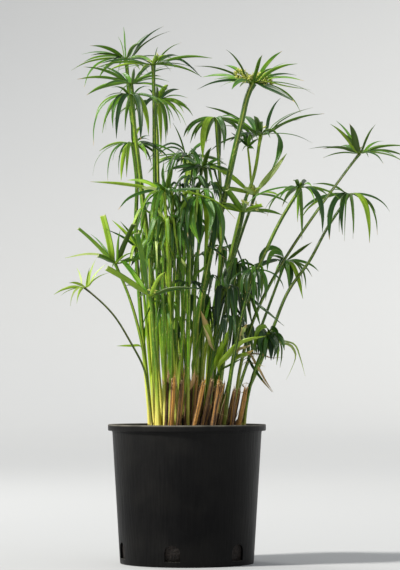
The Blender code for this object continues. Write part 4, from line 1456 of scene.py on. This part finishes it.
def young_stem(shoot, rng, rooted=True):
    """The stem of a young shoot."""
    line = pixel_line(shoot.line, shoot.depths)
    if rooted:
        lean = (line[0] - line[1]) / (line[1][2] - line[0][2])
        line = np.vstack([line[0] + lean * (line[0][2] - SOIL_BOX[1].z + 0.003), line])
    points = smooth_line(line, CULM_STATIONS)
    share = np.linspace(0, 1, CULM_STATIONS)
    side = squared(np.broadcast_to([0.4, -1.0, 0.0], points.shape), points)
    half = shoot.width / 2 * (1 - 0.3 * share)
    tone = 0.5 + (shoot.tone - 0.4) * 1.5
    return Strand(points, side, half, tone=tone, age=shoot.foot, luck=rng.random())


def make_young_shoots(culm, blade):
    """The young shoots among the stems, and the one on a hub."""
    shoots = {f"young_shoot_{number:02d}": shoot for number, shoot in YOUNG_SHOOTS.items()}
    shoots["hub_shoot"] = HUB_SHOOT
    for number, (name, shoot) in enumerate(shoots.items()):
        rng = random.Random(1500 + number)
        stem = young_stem(shoot, rng, rooted=name != "hub_shoot")
        values = {"Points": 14, "Corner": culm.corner, "Flute": 0.012, "Finish": finish_of("culm")}
        piece = grown(f"{name}_stem", strand_mesh(name, [stem]), "culm", values)
        strands = head_blades(
            stem.points[-1], shoot.blades, shoot.length, shoot.droop, shoot.length * 0.11, shoot.blade_tone, rng
        )
        strands += tip_blades(stem.points[-1], shoot, rng)
        leaves = blade_piece(f"{name}_blades", strands, blade)
        for made, slot in ((piece, "green_stem"), (leaves, "green_leaf")):
            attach(made, "root")


# Small things at the stems' feet


def on_stem(number, height):
    """The point on a stem's centre line at a height, its direction and its width there."""
    centres, widths, corner = tube_of(f"stem_{number:02d}")
    place = np.array([np.interp(height, centres[:, 2], centres[:, axis]) for axis in range(3)])
    above = np.array([np.interp(height + 0.01, centres[:, 2], centres[:, axis]) for axis in range(3)])
    return place, unit(above - place), float(np.interp(height, centres[:, 2], widths))


SHEATH_STATIONS = 8
SHEATHS_PER_STEM = 2
DRY_STEMS = (1, 4, 5, 7, 8, 9, 11, 12, 15, 16)


def sheath_strand(number, around, height, tone, rng):
    """A papery sheath that hugs one side of a stem's foot and ends in a loose point."""
    base = SOIL_BOX[1].z - 0.002
    share = np.linspace(0, 1, SHEATH_STATIONS)
    out = np.array([math.cos(around), math.sin(around), 0.0])
    points = []
    for s in share:
        place, way, width = on_stem(number, max(base + height * s, SOIL_BOX[1].z + 0.0005))
        place[2] = base + height * s
        points.append(place + out * (width * (0.46 + 0.05 * s) + 0.0016 * max(0, s - 0.75) * 4))
    points = np.array(points)
    up = np.broadcast_to(-out, points.shape)
    side = squared(np.cross(up, tangents(points)), points)
    width = on_stem(number, SOIL_BOX[1].z + 0.01)[2]
    half = width * 0.62 * np.clip((1.02 - share) / 0.45, 0.06, 1) ** 0.7
    return Strand(points, side, half, tone=tone, luck=rng.random())


def make_sheaths(looks):
    """Papery sheaths round the stems' feet."""
    strands = []
    for number in SHOOTS:
        rng = random.Random(2100 + number)
        dry = number in DRY_STEMS
        for k in range(SHEATHS_PER_STEM):
            around = -math.pi / 2 + rng.uniform(-1.1, 1.1) + math.pi * k
            height = rng.uniform(0.016, 0.034) if dry else rng.uniform(0.012, 0.026)
            tone = rng.uniform(0.25, 0.6) if dry else rng.uniform(0.6, 0.9)
            strands.append(sheath_strand(number, around, height, tone, rng))
    values = {"Points": 8, "Fold": 0.75, "Thickness": 0.07, "Keel": 0.0, "Finish": finish_of("sheath")}
    piece = grown("papery_sheaths", strand_mesh("papery_sheaths", strands), "blade", values)
    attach(piece, "root")


THATCH_COUNT = 330
THATCH_HALF = (0.043, 0.046)
THATCH_CENTRE = (0.017, 0.0)


def make_thatch(looks):
    """Dark dead sheaths and fibres that stand between the stubs, leaning as the stubs do."""
    rng = random.Random(2600)
    strands = []
    base = SOIL_BOX[1].z - 0.002
    for k in range(THATCH_COUNT):
        turn, out = rng.uniform(0, 2 * math.pi), math.sqrt(rng.random())
        x = THATCH_CENTRE[0] + THATCH_HALF[0] * out * math.cos(turn)
        y = THATCH_CENTRE[1] + THATCH_HALF[1] * out * math.sin(turn)
        height = rng.uniform(0.018, 0.052) * (1 - 0.3 * out)
        lean = np.array([x * 0.32 * height / 0.05 + rng.uniform(-0.005, 0.005), rng.uniform(-0.005, 0.005), height])
        foot = np.array([x, y, base])
        line = np.array([foot, foot + lean * 0.5 + np.array([rng.uniform(-0.001, 0.001), 0, 0]), foot + lean])
        points = smooth_line(line, 6)
        face = rng.uniform(-0.9, 0.9)
        side = squared(np.broadcast_to([math.cos(face), math.sin(face), 0.0], points.shape), points)
        half = rng.uniform(0.001, 0.003) * np.array([1.0, 1.0, 0.95, 0.85, 0.6, 0.15])
        tone = rng.choice((-0.3, -0.2, -0.1, 0.0, 0.15, 0.45))
        strands.append(Strand(points, side, half, tone=tone, luck=rng.random()))
    values = {"Points": 6, "Fold": 0.6, "Thickness": 0.12, "Keel": 0.1, "Finish": finish_of("dry")}
    piece = grown("dead_thatch", strand_mesh("dead_thatch", strands), "blade", values)
    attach(piece, "root")


@dataclass
class SmallStub:
    """A short stub by the pixels of its foot and top."""

    foot: tuple
    top: tuple
    depth: float
    width: float
    tone: float


SMALL_STUBS = (
    SmallStub((233, 424), (240, 388), -0.034, 0.0045, 0.4),
    SmallStub((205, 424), (211, 404), -0.05, 0.005, 0.2),
    SmallStub((188, 424), (191, 378), 0.0, 0.0055, 0.4),
    SmallStub((191, 424), (195, 373), -0.012, 0.005, 0.3),
    SmallStub((185, 424), (187, 390), -0.03, 0.0045, 0.2),
    SmallStub((217, 424), (224, 382), 0.01, 0.0055, 0.3),
    SmallStub((223, 424), (229, 390), -0.02, 0.005, 0.25),
    SmallStub((195, 424), (200, 384), -0.03, 0.0045, 0.2),
    SmallStub((174, 424), (175, 384), -0.02, 0.0045, 0.1),
    SmallStub((208, 424), (216, 384), 0.02, 0.005, 0.35),
    SmallStub((227, 424), (234, 389), 0.0, 0.005, 0.5),
    SmallStub((200, 424), (204, 380), 0.01, 0.005, 0.2),
    SmallStub((180, 424), (183, 376), -0.036, 0.0042, 0.5),
    SmallStub((196, 424), (199, 372), 0.02, 0.005, 0.5),
    SmallStub((213, 424), (219, 390), -0.04, 0.0042, 0.1),
    SmallStub((220, 424), (227, 392), -0.042, 0.004, 0.3),
    SmallStub((231, 424), (239, 394), 0.02, 0.0045, 0.2),
    SmallStub((170, 424), (170, 392), -0.044, 0.004, 0.9),
    SmallStub((203, 424), (208, 394), 0.03, 0.005, 0.1),
    SmallStub((189, 424), (192, 381), -0.05, 0.0048, 0.3),
    SmallStub((193, 424), (197, 375), -0.053, 0.0046, 0.5),
    SmallStub((186, 424), (188, 388), -0.052, 0.004, 0.2),
    SmallStub((198, 424), (202, 378), -0.049, 0.0042, 0.15),
)


def make_small_stubs(looks):
    """Short stubs between and behind the others."""
    strands, rng = [], random.Random(3100)
    for stub in SMALL_STUBS:
        foot, top = seen(*stub.foot, stub.depth), seen(*stub.top, stub.depth + 0.004)
        down = (foot - top) / (top[2] - foot[2])
        foot = foot + down * (foot[2] - SOIL_BOX[1].z - 0.0005)
        line = np.array([foot, (foot + top) / 2, top])
        strands += stub_strands(line, np.full(3, stub.width), stub.tone + 0.1, rng, looks.fray * 1.5)
    piece = grown("small_stubs", strand_mesh("small_stubs", strands), "culm", stub_values())
    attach(piece, "root")


@dataclass
class LooseLeaf:
    """A leaf, sheath or twig by the pixels of its line from what it grows on: a stem, or the young shoot -stem."""

    stem: int
    line: tuple
    width: float
    tone: float
    finish: str = "blade"
    out: float = -0.012
    age: float = 0.0


LOOSE_LEAVES = {
    "low_leaf_1": LooseLeaf(-17, ((215, 368), (221, 350), (229, 329)), 0.0098, 0.72, out=-0.03),
    "low_leaf_2": LooseLeaf(-19, ((219, 370), (228, 357), (241, 344), (266, 336)), 0.0125, 0.78, out=-0.03),
    "low_leaf_9": LooseLeaf(-19, ((221, 372), (231, 365), (243, 358)), 0.006, 0.2, out=-0.02),
    "low_leaf_10": LooseLeaf(10, ((246, 358), (254, 368), (264, 382), (272, 392)), 0.0036, 0.2, out=-0.02, age=0.3),
    "low_leaf_3": LooseLeaf(17, ((141, 347), (130, 346), (117, 346)), 0.0042, 0.8, out=-0.015),
    "low_leaf_4": LooseLeaf(4, ((176, 392), (179, 380), (179, 352)), 0.005, 0.55),
    "low_leaf_5": LooseLeaf(15, ((193, 372), (197, 350), (203, 326)), 0.0052, 0.6),
    "low_leaf_6": LooseLeaf(7, ((197, 345), (206, 318), (211, 296)), 0.006, 0.5),
    "low_leaf_7": LooseLeaf(5, ((176, 352), (172, 330), (166, 312)), 0.0055, 0.62),
    "low_leaf_8": LooseLeaf(6, ((144, 350), (147, 326), (153, 306)), 0.0062, 0.66),
    "dry_leaf_1": LooseLeaf(-17, ((212, 345), (207, 330), (201, 311)), 0.0095, 0.8, out=-0.03, age=0.36),
    "dry_leaf_2": LooseLeaf(-17, ((212, 348), (208, 338), (203, 325)), 0.0042, 0.85, "sheath", -0.034),
    "dry_leaf_3": LooseLeaf(13, ((239, 344), (242, 334), (247, 324)), 0.008, 1.35, out=-0.06, age=0.2),
    "dry_leaf_4": LooseLeaf(13, ((239, 346), (241, 336), (242, 327)), 0.0055, 1.15, "sheath", -0.05),
    "dry_leaf_5": LooseLeaf(13, ((236, 360), (245, 355), (254, 350)), 0.0075, 0.8, out=-0.05, age=0.3),
    "dry_leaf_6": LooseLeaf(13, ((237, 352), (244, 348), (251, 345)), 0.005, 0.8, "sheath", -0.045),
    "dry_leaf_7": LooseLeaf(10, ((247, 354), (257, 366), (265, 380), (273, 392)), 0.0034, 0.66, "sheath", -0.024),
    "dry_leaf_8": LooseLeaf(10, ((246, 356), (262, 355), (270, 358), (284, 357)), 0.0026, 0.35, "sheath", -0.02),
    "dry_leaf_9": LooseLeaf(10, ((246, 362), (256, 364), (266, 367)), 0.002, 0.9, "sheath", -0.014),
    "splinter_1": LooseLeaf(-29, ((170, 392), (169, 380), (168, 369)), 0.0046, 0.6, "sheath", -0.016),
    "splinter_2": LooseLeaf(-3, ((179, 388), (180, 372), (180, 353)), 0.005, 0.75, "sheath", -0.085),
    "splinter_3": LooseLeaf(-20, ((199, 384), (198, 370), (199, 354)), 0.005, 0.85, "blade", -0.075),
    "splinter_4": LooseLeaf(-29, ((174, 390), (175, 383), (175, 375)), 0.004, 0.9, "sheath", -0.02),
    "splinter_5": LooseLeaf(-34, ((191, 388), (194, 378), (195, 369)), 0.005, 0.5, "sheath", -0.02),
    "splinter_6": LooseLeaf(-10, ((165, 392), (164, 386), (162, 378)), 0.0046, 0.95, "sheath", -0.08),
    "thread_1": LooseLeaf(-17, ((223, 384), (221, 398), (217, 412), (227, 416)), 0.0012, 0.95, "sheath", -0.03),
    "thread_2": LooseLeaf(-19, ((225, 392), (222, 406), (219, 419)), 0.0011, 0.9, "sheath", -0.02),
    "twig_1": LooseLeaf(11, ((213, 248), (218, 253), (228, 260)), 0.0018, 0.6, "sheath", -0.004),
    "twig_2": LooseLeaf(15, ((195, 277), (200, 271), (207, 264)), 0.0022, 0.8, "blade", -0.004),
    "thin_leaf_1": LooseLeaf(10, ((247, 390), (254, 372), (264, 355)), 0.0034, 0.55, "blade", -0.03),
    "thin_leaf_3": LooseLeaf(13, ((247, 300), (262, 308), (284, 326)), 0.0036, 0.12, "blade", -0.04),
    "thin_leaf_4": LooseLeaf(7, ((207, 246), (216, 250), (227, 259)), 0.0034, 0.12, "blade", -0.03),
    "thin_leaf_5": LooseLeaf(15, ((195, 277), (202, 270), (208, 263)), 0.0034, 0.35, "blade", -0.03),
    "thin_leaf_2": LooseLeaf(14, ((243, 386), (246, 383), (250, 385)), 0.0018, 0.8, "sheath", -0.03),
}


def on_carrier(number, height):
    """The point at a height on a stem, or on the young shoot of the number below zero."""
    if number > 0:
        return on_stem(number, height)[0]
    shoot = YOUNG_SHOOTS[-number]
    line = pixel_line(shoot.line, shoot.depths)
    return np.array([np.interp(height, line[:, 2], line[:, axis]) for axis in range(3)])


def make_loose_leaves(looks):
    """Low leaves, dry bits and twigs, each growing from its stem."""
    strands = {"blade": [], "sheath": []}
    for number, leaf in enumerate(LOOSE_LEAVES.values()):
        rng = random.Random(3600 + number)
        depth = on_carrier(leaf.stem, seen(*leaf.line[0], 0.0)[2])[1]
        line = pixel_line(leaf.line, (depth, depth + leaf.out))
        start = on_carrier(leaf.stem, line[0][2] - 0.006)
        strand = free_blade(np.vstack([start, line]), leaf.width, leaf.tone, rng, age=leaf.age)
        strands[leaf.finish].append(strand)
    for finish, made in strands.items():
        name = {"blade": "low_leaves", "sheath": "dry_leaves"}[finish]
        values = {
            "Points": 8,
            "Fold": looks.fold,
            "Thickness": looks.thickness,
            "Keel": looks.keel,
            "Finish": finish_of(finish),
        }
        piece = grown(name, strand_mesh(name, made), "blade", values)
        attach(piece, "root")


# Flowers


@dataclass
class Cluster:
    """A cluster of spikelets by the pixel of its middle, on a whorl's hub."""

    whorl: int
    middle: tuple
    radius: float = 0.0026
    forward: float = 0.0


CLUSTERS = (
    Cluster(7, (240, 73), 0.0042, -0.004),
    Cluster(7, (256, 77), 0.0038, 0.004),
    Cluster(7, (262, 76), 0.0032, -0.006),
    Cluster(7, (268, 82), 0.0036, -0.008),
    Cluster(7, (247, 77), 0.003, -0.01),
    Cluster(4, (158, 57), 0.0018, -0.003),
    Cluster(4, (150, 60), 0.0014, 0.004),
    Cluster(11, (255, 188), 0.0016, -0.006),
    Cluster(12, (244, 204), 0.0022, -0.008),
    Cluster(12, (256, 206), 0.002, -0.004),
    Cluster(19, (152, 291), 0.0014, -0.006),
    Cluster(10, (361, 149), 0.0013, 0.0),
    Cluster(9, (263, 128), 0.0014, 0.003),
)


def make_flowers(looks):
    """Clusters of spikelets on short stalks, in the middle of some whorls."""
    hubs = {number: bracts_of(f"leaf_whorl_{number:02d}")[0] for number in {c.whorl for c in CLUSTERS}}
    stalks, rng = [], random.Random(4100)
    bed, buds = bpy.data.meshes.new("flower_bed"), bmesh.new()
    for cluster in CLUSTERS:
        hub = hubs[cluster.whorl]
        middle = seen(*cluster.middle, hub[1] + cluster.forward)
        bmesh.ops.create_icosphere(
            buds, subdivisions=2, radius=cluster.radius, matrix=Matrix.Translation(Vector(middle))
        )
        bent = (hub + middle) / 2 + np.array([0, 0, 0.15 * np.linalg.norm(middle - hub)])
        points = smooth_line(np.array([hub, bent, middle]), 6)
        side = squared(np.broadcast_to([0.0, 1.0, 0.1], points.shape), points)
        stalks.append(Strand(points, side, np.full(6, 0.0007), tone=0.8, age=0.0, luck=rng.random()))
    buds.to_mesh(bed)
    buds.free()
    values = {"Density": 420000.0, "Length": looks.spikelet, "Lean": 0.35, "Seed": 4, "Finish": finish_of("flower")}
    husks = grown("flower_husks", bed, "husks", values)
    husks.data.shade_smooth()
    values = {"Points": 8, "Corner": 0.1, "Flute": 0.0, "Finish": finish_of("culm")}
    stems = grown("flower_stalks", strand_mesh("flower_stalks", stalks), "culm", values)
    for piece, slot in ((husks, "green_leaf"), (stems, "green_stem")):
        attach(piece, "root")


# Pot and soil


def turned(name, outline, sides, wobble=None):
    """A turned shape from pairs of radius and height, whose first and last points lie on the axis."""
    mesh = bpy.data.meshes.new(name)
    work = bmesh.new()
    rings = []
    for radius, height in outline:
        if radius == 0:
            rings.append([work.verts.new((0, 0, height))])
            continue
        angles = [2 * math.pi * k / sides for k in range(sides)]
        rings.append([work.verts.new((radius * math.cos(a), radius * math.sin(a), height)) for a in angles])
    for low, high in zip(rings, rings[1:]):
        for k in range(sides):
            after = (k + 1) % sides
            if len(low) == 1:
                work.faces.new((low[0], high[after], high[k]))
            elif len(high) == 1:
                work.faces.new((low[k], low[after], high[0]))
            else:
                work.faces.new((low[k], low[after], high[after], high[k]))
    if wobble:
        for corner in work.verts:
            corner.co.z += wobble(corner.co)
    bmesh.ops.recalc_face_normals(work, faces=work.faces)
    work.to_mesh(mesh)
    work.free()
    mesh.shade_smooth()
    return link(name, mesh)


HOLE_COUNT = 6
HOLE_WIDTH = 0.02
HOLE_BOTTOM = 0.007
HOLE_TOP = 0.0275
HOLE_FIRST = math.radians(-12)
POT_SIDES = 144


def hole_cutters(looks):
    """Arched prisms across the pot's wall, as one mesh."""
    work = bmesh.new()
    half = HOLE_WIDTH / 2
    arch = [(half * math.cos(t), HOLE_TOP - half + half * math.sin(t)) for t in np.linspace(0, math.pi, 17)]
    outline = [(half, HOLE_BOTTOM), *arch, (-half, HOLE_BOTTOM)]
    for number in range(HOLE_COUNT):
        angle = HOLE_FIRST + 2 * math.pi * number / HOLE_COUNT
        out = Vector((math.sin(angle), -math.cos(angle), 0))
        across = Vector((math.cos(angle), math.sin(angle), 0))
        ends = []
        for distance in (looks.base_radius - 0.012, looks.base_radius + 0.012):
            ends.append([work.verts.new(out * distance + across * x + Vector((0, 0, z))) for x, z in outline])
        work.faces.new(ends[0])
        work.faces.new(list(reversed(ends[1])))
        count = len(outline)
        for k in range(count):
            work.faces.new((ends[0][k], ends[1][k], ends[1][(k + 1) % count], ends[0][(k + 1) % count]))
    bmesh.ops.recalc_face_normals(work, faces=work.faces)
    mesh = bpy.data.meshes.new("hole_cutters")
    work.to_mesh(mesh)
    work.free()
    return link("hole_cutters", mesh)


def arc(centre, radius, first, last, count=5):
    """Points of a rounded edge, as pairs of radius and height."""
    angles = np.radians(np.linspace(first, last, count))
    return [(centre[0] + radius * math.cos(a), centre[1] + radius * math.sin(a)) for a in angles]


def make_pot(looks):
    """The pot, in place of its CAD node."""
    ledge = looks.height - looks.rim_height
    rim, wall, top = looks.rim_radius, looks.wall, looks.wall_top_radius
    lip = rim - 1.5 * wall
    edge = 0.0011
    floor = 0.003
    rise = [(looks.base_radius + (top - looks.base_radius) * s, ledge * s) for s in np.linspace(0.03, 0.985, 12)]
    outline = [(0, 0), (looks.base_radius * 0.5, 0)]
    outline += arc((looks.base_radius - edge, edge), edge, -90, 0)
    outline += rise
    outline += [(top + 0.0004, ledge - 0.0004), (top + 0.0012, ledge)]
    outline += arc((rim - edge, ledge + edge), edge, -90, 0)
    outline += arc((rim - edge, looks.height - edge), edge, 0, 90)
    outline += arc((lip + 0.0006, looks.height - 0.0006), 0.0006, 90, 180, 4)
    outline += [(lip - 0.0005, ledge + wall + 0.0006), (lip - 0.0012, ledge + wall)]
    outline += [(top - wall + 0.0008, ledge + wall - 0.0002), (top - wall, ledge + wall - 0.001)]
    inner_base = looks.base_radius - wall
    inside = [(inner_base + (top - wall - inner_base) * s, floor + (ledge - floor) * s) for s in
              np.linspace(0.98, 0.02, 12)]
    outline += inside + [(inner_base - 0.001, floor), (inner_base * 0.5, floor), (0, floor)]
    pot = turned("nursery_pot", outline, POT_SIDES)
    cutters = hole_cutters(looks)
    cut = pot.modifiers.new("drain_holes", "BOOLEAN")
    cut.operation = "DIFFERENCE"
    cut.solver = "EXACT"
    cut.object = cutters
    bpy.context.view_layer.update()
    depsgraph = bpy.context.evaluated_depsgraph_get()
    mesh = bpy.data.meshes.new_from_object(pot.evaluated_get(depsgraph))
    pot.modifiers.clear()
    pot.data = mesh
    bpy.data.objects.remove(cutters)
    mesh.shade_smooth()
    mesh.set_sharp_from_angle(angle=math.radians(42))
    mesh.materials.clear()
    mesh.materials.append(finish_of("pot"))
    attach(pot, "root")
    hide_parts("pot")


def lumpy(size, seed):
    """A height that rolls over the soil's top."""
    rng = random.Random(seed)
    waves = [(rng.uniform(60, 420), rng.uniform(0, math.pi), rng.uniform(0, 6)) for k in range(14)]

    def height(place):
        if place.z < SOIL_BOX[1].z - 0.003:
            return 0.0
        total = sum(
            math.sin((place.x * math.cos(turn) + place.y * math.sin(turn)) * rate + start) / (1 + rate / 150)
            for rate, turn, start in waves
        )
        return size * total / 3.2

    return height


def make_soil(looks):
    """The soil, in place of its CAD node, with bark chips on it."""
    low, high = SOIL_BOX
    radius = high.x - 0.0002
    foot = radius - (high.z - low.z) * 0.062
    top = high.z
    outline = [(0, low.z), (foot * 0.6, low.z), (foot, low.z)]
    outline += [(foot + (radius - foot) * s, low.z + (top - low.z - 0.004) * s) for s in (0.25, 0.5, 0.75, 1.0)]
    outline += [(radius - 0.0008, top - 0.001)]
    outline += [(radius * s, top) for s in np.linspace(0.975, 0.03, 30)]
    outline += [(0, top)]
    soil = turned("soil_bed", outline, 120, lumpy(looks.lumps, 5))
    soil.data.materials.append(finish_of("soil"))
    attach(soil, "root")
    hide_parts("potting_soil")
    bed = bpy.data.meshes.new("chip_bed")
    work = bmesh.new()
    work.from_mesh(soil.data)
    sunk = [f for f in work.faces if f.calc_center_median().z < top - 0.004 or f.normal.z < 0.4
            or f.calc_center_median().xy.length > radius - 0.006]
    bmesh.ops.delete(work, geom=sunk, context="FACES")
    work.to_mesh(bed)
    work.free()
    chips = grown(
        "bark_chips",
        bed,
        "chips",
        {
            "Density": looks.chip_density,
            "Length": looks.chip_length,
            "Lean": 0.5,
            "Seed": 11,
            "Finish": finish_of("bark"),
        },
    )
    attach(chips, "root")


# Stage


def make_stage(looks):
    """A pale floor that turns up into a round backdrop, soft lights and the camera."""
    scene = bpy.context.scene
    outline = [(0, 0), (1.5, 0), (4.0, 0), (8.5, 0)]
    outline += [(8.5 + 3.5 * math.sin(t), 3.5 - 3.5 * math.cos(t)) for t in np.radians(np.linspace(8, 90, 12))]
    outline += [(12.0, 5.0)]
    mesh = bpy.data.meshes.new("studio_floor")
    sides = 96
    points, faces = [], []
    for radius, height in outline:
        for k in range(sides):
            a = 2 * math.pi * k / sides
            points.append((radius * math.cos(a), radius * math.sin(a), height))
    for ring in range(len(outline) - 1):
        for k in range(sides):
            a, b = ring * sides + k, ring * sides + (k + 1) % sides
            faces.append((a, a + sides, b + sides, b))
    mesh.from_pydata(points, [], faces)
    mesh.validate()
    mesh.shade_smooth()
    floor = link("studio_floor", mesh)
    mesh.materials.append(finish_of("floor"))
    lights = {
        "key": ("SUN", (-2.4, -1.1, 2.3), looks.key_strength, looks.key_softness, (1.0, 0.97, 0.9)),
        "fill": ("AREA", (2.4, -2.2, 1.2), looks.fill_power, 2.2, (0.92, 0.96, 1.0)),
        "back": ("AREA", (-1.5, 1.9, 1.9), looks.back_power, 1.0, (1.0, 0.98, 0.92)),
    }
    for name, (kind, place, power, width, tint) in lights.items():
        lamp = bpy.data.lights.new(name, kind)
        lamp.energy = power
        lamp.color = tint
        if kind == "SUN":
            lamp.angle = width
        else:
            lamp.shape = "DISK"
            lamp.size = width
        holder = bpy.data.objects.new(name, lamp)
        holder.location = place
        holder.rotation_euler = (AIM - Vector(place)).to_track_quat("-Z", "Y").to_euler()
        scene.collection.objects.link(holder)
    world = bpy.data.worlds.new("studio_air")
    world.use_nodes = True
    world.node_tree.nodes["Background"].inputs[0].default_value = (0.96, 0.98, 1.0, 1)
    world.node_tree.nodes["Background"].inputs[1].default_value = looks.air
    scene.world = world
    scene.view_settings.view_transform = "Standard"
    camera = bpy.data.cameras.new("photo_view")
    camera.sensor_width = SENSOR
    camera.sensor_fit = "HORIZONTAL"
    camera.lens = SENSOR * (AIM - EYE).length / FRAME_WIDTH
    camera.clip_end = 100
    holder = bpy.data.objects.new("photo_view", camera)
    holder.location = EYE
    holder.rotation_euler = (AIM - EYE).to_track_quat("-Z", "Y").to_euler()
    scene.collection.objects.link(holder)
    scene.camera = holder


# Operators


class SEDGE_OT_make_pot(bpy.types.Operator):
    """Make the nursery pot with its rim and drain holes"""

    bl_idname = "sedge.make_pot"
    bl_label = "Make the pot"

    def execute(self, context):
        make_pot(context.scene.sedge_pot)
        return {"FINISHED"}


class SEDGE_OT_make_soil(bpy.types.Operator):
    """Make the potting soil and the bark chips on it"""

    bl_idname = "sedge.make_soil"
    bl_label = "Make the soil"

    def execute(self, context):
        make_soil(context.scene.sedge_soil)
        return {"FINISHED"}


class SEDGE_OT_make_stems(bpy.types.Operator):
    """Make the three-sided stems"""

    bl_idname = "sedge.make_stems"
    bl_label = "Make the stems"

    def execute(self, context):
        make_stems(context.scene.sedge_culm)
        return {"FINISHED"}


class SEDGE_OT_make_whorls(bpy.types.Operator):
    """Make the umbrellas of leaf blades on the stems"""

    bl_idname = "sedge.make_whorls"
    bl_label = "Make the leaf whorls"

    def execute(self, context):
        make_whorls(context.scene.sedge_blade)
        return {"FINISHED"}


class SEDGE_OT_make_stubs(bpy.types.Operator):
    """Make the dry stubs of older stems"""

    bl_idname = "sedge.make_stubs"
    bl_label = "Make the dry stubs"

    def execute(self, context):
        make_stubs(context.scene.sedge_stub)
        return {"FINISHED"}


class SEDGE_OT_make_young_shoots(bpy.types.Operator):
    """Make the young shoots that stand among the stems"""

    bl_idname = "sedge.make_young_shoots"
    bl_label = "Make the young shoots"

    def execute(self, context):
        make_young_shoots(context.scene.sedge_culm, context.scene.sedge_blade)
        return {"FINISHED"}


class SEDGE_OT_make_sheaths(bpy.types.Operator):
    """Make the papery sheaths and the dead thatch at the stems' feet"""

    bl_idname = "sedge.make_sheaths"
    bl_label = "Make the sheaths"

    def execute(self, context):
        make_sheaths(context.scene.sedge_stub)
        make_thatch(context.scene.sedge_stub)
        return {"FINISHED"}


class SEDGE_OT_make_small_stubs(bpy.types.Operator):
    """Make the short stubs between the others"""

    bl_idname = "sedge.make_small_stubs"
    bl_label = "Make the small stubs"

    def execute(self, context):
        make_small_stubs(context.scene.sedge_stub)
        return {"FINISHED"}


class SEDGE_OT_make_loose_leaves(bpy.types.Operator):
    """Make the low leaves, the dry leaf bits and the twigs"""

    bl_idname = "sedge.make_loose_leaves"
    bl_label = "Make the loose leaves"

    def execute(self, context):
        make_loose_leaves(context.scene.sedge_blade)
        return {"FINISHED"}


class SEDGE_OT_make_flowers(bpy.types.Operator):
    """Make the flower clusters"""

    bl_idname = "sedge.make_flowers"
    bl_label = "Make the flowers"

    def execute(self, context):
        make_flowers(context.scene.sedge_flower)
        return {"FINISHED"}


class SEDGE_OT_make_stage(bpy.types.Operator):
    """Make the floor, the lights and the camera"""

    bl_idname = "sedge.make_stage"
    bl_label = "Make the stage"

    def execute(self, context):
        make_stage(context.scene.sedge_stage)
        return {"FINISHED"}


OPERATORS = (
    SEDGE_OT_make_pot,
    SEDGE_OT_make_soil,
    SEDGE_OT_make_stems,
    SEDGE_OT_make_whorls,
    SEDGE_OT_make_stubs,
    SEDGE_OT_make_young_shoots,
    SEDGE_OT_make_sheaths,
    SEDGE_OT_make_small_stubs,
    SEDGE_OT_make_loose_leaves,
    SEDGE_OT_make_flowers,
    SEDGE_OT_make_stage,
)


class SEDGE_PT_parts(bpy.types.Panel):
    """Lists the sedge's parts in the sidebar"""

    bl_idname = "SEDGE_PT_parts"
    bl_label = "Potted umbrella sedge"
    bl_space_type = "VIEW_3D"
    bl_region_type = "UI"
    bl_category = "Sedge"

    def draw(self, context):
        for operator in OPERATORS:
            self.layout.operator(operator.bl_idname)


SETTINGS = {
    "sedge_pot": SedgePotSettings,
    "sedge_soil": SedgeSoilSettings,
    "sedge_culm": SedgeCulmSettings,
    "sedge_blade": SedgeBladeSettings,
    "sedge_flower": SedgeFlowerSettings,
    "sedge_stub": SedgeStubSettings,
    "sedge_stage": SedgeStageSettings,
}


def register():
    """Registers the settings, the operators and the panel."""
    for name, group in SETTINGS.items():
        bpy.utils.register_class(group)
        setattr(bpy.types.Scene, name, PointerProperty(type=group))
    for made in (*OPERATORS, SEDGE_PT_parts):
        bpy.utils.register_class(made)


def unregister():
    """Takes them all away again."""
    for made in reversed((*OPERATORS, SEDGE_PT_parts)):
        bpy.utils.unregister_class(made)
    for name, group in reversed(list(SETTINGS.items())):
        delattr(bpy.types.Scene, name)
        bpy.utils.unregister_class(group)


def main():
    """Makes every part in order."""
    register()
    for operator in OPERATORS:
        family, action = operator.bl_idname.split(".")
        getattr(getattr(bpy.ops, family), action)()


if __name__ == "__main__":
    main()
